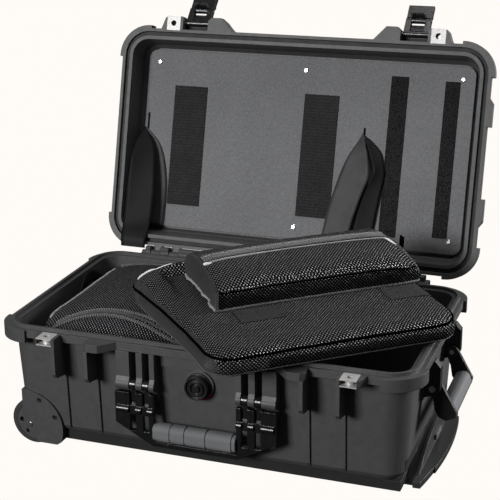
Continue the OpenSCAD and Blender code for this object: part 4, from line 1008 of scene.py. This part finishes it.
def build_straps():
    def strap(name, rows, mat, node=None, across=8):
        o = ribbon(name, lid_rows(rows), 0.0014, MAT[mat], across)
        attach(o, "lid")
        if node:
            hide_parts(node)

    strap("strap_left_webbing", [
        ((-240.5, -15, 206.0), (-238.5, -15, 206.0), 0),
        ((-243.5, -4, 199.0), (-233.0, -7, 203.5), 0),
        ((-247.0, 10, 189.0), (-225.0, 2, 200.0), 0.4),
        ((-248.0, 30, 181.5), (-217.0, 18, 196.0), 1.0),
        ((-248.5, 60, 177.5), (-211.0, 50, 189.5), 1.4),
        ((-248.0, 95, 174.0), (-207.5, 88, 183.0), 1.2),
        ((-247.0, 125, 169.5), (-207.0, 121, 175.5), 0.8),
        ((-246.0, 141, 163.8), (-207.0, 139, 166.0), 0.5),
        ((-245.0, 150, 161.6), (-207.0, 149, 162.4), 0.3),
        ((-244.5, 160, 162.6), (-207.5, 160, 162.6), 0.2),
    ], "webbing", "strap_left")
    # Painted light: the left strap's back leg takes the lighter webbing
    strap("strap_left_back_leg", [
        ((-238.0, -14, 206.2), (-236.0, -14, 206.2), 0),
        ((-236, -6, 205.0), (-226, -5, 206.0), 0),
        ((-233, 12, 203.0), (-213, 10, 205.2), 0.6),
        ((-232, 36, 201.0), (-204, 34, 204.5), 1.0),
        ((-230, 72, 200.0), (-198, 72, 204.0), 1.0),
        ((-229, 128, 199.0), (-199, 128, 203.0), 0.8),
    ], "webbing_lit")
    # Painted light: the right strap's front leg takes the lighter webbing
    strap("strap_right_webbing", [
        ((90.5, -30, 205.5), (93.5, -22, 205.5), 0),
        ((84, -16, 204.0), (97, -12, 199.0), 0),
        ((74, 2, 201.5), (103, 8, 194.5), 0.8),
        ((66, 22, 199.5), (106, 32, 192.5), 1.2),
        ((58, 50, 198.5), (97, 62, 192.0), 1.2),
        ((50, 84, 198.0), (88, 96, 192.0), 1.0),
        ((44, 122, 198.0), (82, 130, 192.5), 0.8),
    ], "webbing_lit", "strap_right")
    strap("strap_right_back_leg", [
        ((92.5, -26, 205.6), (95, -24, 205.6), 0),
        ((96, -16, 203.5), (104, -18, 205.2), 0),
        ((104, 2, 200.5), (118, -4, 204.6), 0.5),
        ((112, 22, 198.0), (124, 14, 203.6), 0.5),
        ((108, 34, 197.0), (126, 30, 202.6), 0.5),
        ((99, 52, 197.5), (122, 60, 202.2), 0.6),
        ((92, 84, 199.0), (118, 96, 202.8), 0.6),
        ((86, 124, 200.0), (114, 130, 203.2), 0.5),
    ], "webbing")


build_straps()

# Hinge stops: radius about the hinge axis, radius of the foot, spans along X, in mm
STOP_R, STOP_FOOT_R = 12.7, 6.6
STOP_SPANS = ((103.5, 153.6), (168.4, 181.6), (196.4, 204.0))


def build_hinge_stops():
    """Ridges on the base beside the hinge, under the open lid's flange."""
    hy, hz = HINGE
    prof = [(155.3, 159.0), (155.3, 167.6), (161.5, 167.7), (163.6, 170.2)]
    for k in range(9):
        a = math.radians(112 - 62 * k / 8)
        prof.append((hy + STOP_R * math.cos(a), hz + STOP_R * math.sin(a)))
    prof += [(hy + 7.4, hz + 3.0), (hy + STOP_FOOT_R, hz)]
    for k in range(1, 6):
        a = math.radians(-90 * k / 5)
        prof.append((hy + STOP_FOOT_R * math.cos(a), hz + STOP_FOOT_R * math.sin(a)))
    for side in (-1, 1):
        verts, faces = [], []
        for x0, x1 in STOP_SPANS:
            b = len(verts)
            n = len(prof)
            for x in (x0 * side, x1 * side):
                for y, z in prof:
                    verts.append(Vector((x, y, z)) * MM)
            for k in range(n):
                l = (k + 1) % n
                quad = (b + k, b + l, b + n + l, b + n + k)
                faces.append(quad if side > 0 else (b + k, b + n + k, b + n + l, b + l))
            faces.append(tuple(b + k for k in range(n))[::side * -1])
            faces.append(tuple(b + n + k for k in range(n))[::side])
        o = make_object("hinge_stop_%s" % ("left" if side < 0 else "right"), verts, faces, MAT["case"],
                        False)
        m = o.modifiers.new("edge", "BEVEL")
        m.width = 0.0006
        m.segments = 2
        m.limit_method = "ANGLE"
        m.angle_limit = math.radians(35)
        apply_all(o)
        for p in o.data.polygons:
            p.use_smooth = False
        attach(o, "base")


build_hinge_stops()

# Stage, light and camera
def stage():
    bpy.ops.mesh.primitive_plane_add(size=30, location=(0, 0, -0.0006))
    floor = bpy.context.object
    floor.name = "floor"
    m, nt, b = new_material("pale_floor")
    b.inputs["Base Color"].default_value = (0.0, 0.0, 0.0, 1)
    b.inputs["Roughness"].default_value = 1.0
    b.inputs["Specular IOR Level"].default_value = 0.0
    b.inputs["Emission Color"].default_value = (1.0, 0.965, 0.93, 1)
    b.inputs["Emission Strength"].default_value = 1.0
    floor.data.materials.append(m)
    floor.visible_diffuse = False
    floor.visible_glossy = False
    # Dim surroundings, brighter overhead than at the sides, dark below
    w = bpy.data.worlds.new("studio")
    SCENE.world = w
    w.use_nodes = True
    nt = w.node_tree
    bg = nt.nodes["Background"]
    tc = nt.nodes.new("ShaderNodeTexCoord")
    sep = nt.nodes.new("ShaderNodeSeparateXYZ")
    nt.links.new(tc.outputs["Generated"], sep.inputs[0])
    lift = math_node(nt, "MULTIPLY_ADD", sep.outputs["Z"], 0.5, 0.5)
    nt.links.new(ramp(nt, lift, [(0.3, 0.04), (0.5, 0.3), (0.75, 0.75), (1.0, 1.0)]), bg.inputs["Color"])
    bg.inputs["Strength"].default_value = 0.24


def area(name, loc, target, size, energy, color=(1, 1, 1)):
    l = bpy.data.lights.new(name, "AREA")
    l.shape = "RECTANGLE"
    l.size, l.size_y = size
    l.energy = energy
    l.color = color
    o = bpy.data.objects.new(name, l)
    SCENE.collection.objects.link(o)
    o.location = loc
    d = Vector(target) - Vector(loc)
    o.rotation_euler = d.to_track_quat("-Z", "Y").to_euler()
    return o


stage()
area("key_front", (-1.0, -2.7, 1.2), (0, 0, 0.2), (0.9, 0.7), 92)
area("top_soft", (0.2, 0.1, 2.4), (0, 0, 0.2), (1.2, 0.9), 16)
area("side_right", (1.9, 1.2, 0.75), (0.2, 0, 0.15), (0.5, 0.9), 72)


def camera():
    yaw, pitch, roll = math.radians(19.602), math.radians(18.669), math.radians(-0.436)
    back = Vector((math.sin(yaw) * math.cos(pitch), -math.cos(yaw) * math.cos(pitch), math.sin(pitch)))
    right = Vector((math.cos(yaw), math.sin(yaw), 0))
    up = back.cross(right)
    c, s = math.cos(roll), math.sin(roll)
    r2, u2 = right * c + up * s, up * c - right * s
    cam = bpy.data.cameras.new("camera")
    cam.sensor_width = 36
    cam.lens = 36 * 1324.24 / 500
    o = bpy.data.objects.new("camera", cam)
    SCENE.collection.objects.link(o)
    o.matrix_world = Matrix(((r2.x, u2.x, back.x, 0.54412), (r2.y, u2.y, back.y, -1.48827),
                             (r2.z, u2.z, back.z, 0.78125), (0, 0, 0, 1)))
    SCENE.camera = o


camera()
SCENE.view_settings.view_transform = "Standard"
SCENE.view_settings.look = "None"

bpy.context.view_layer.update()
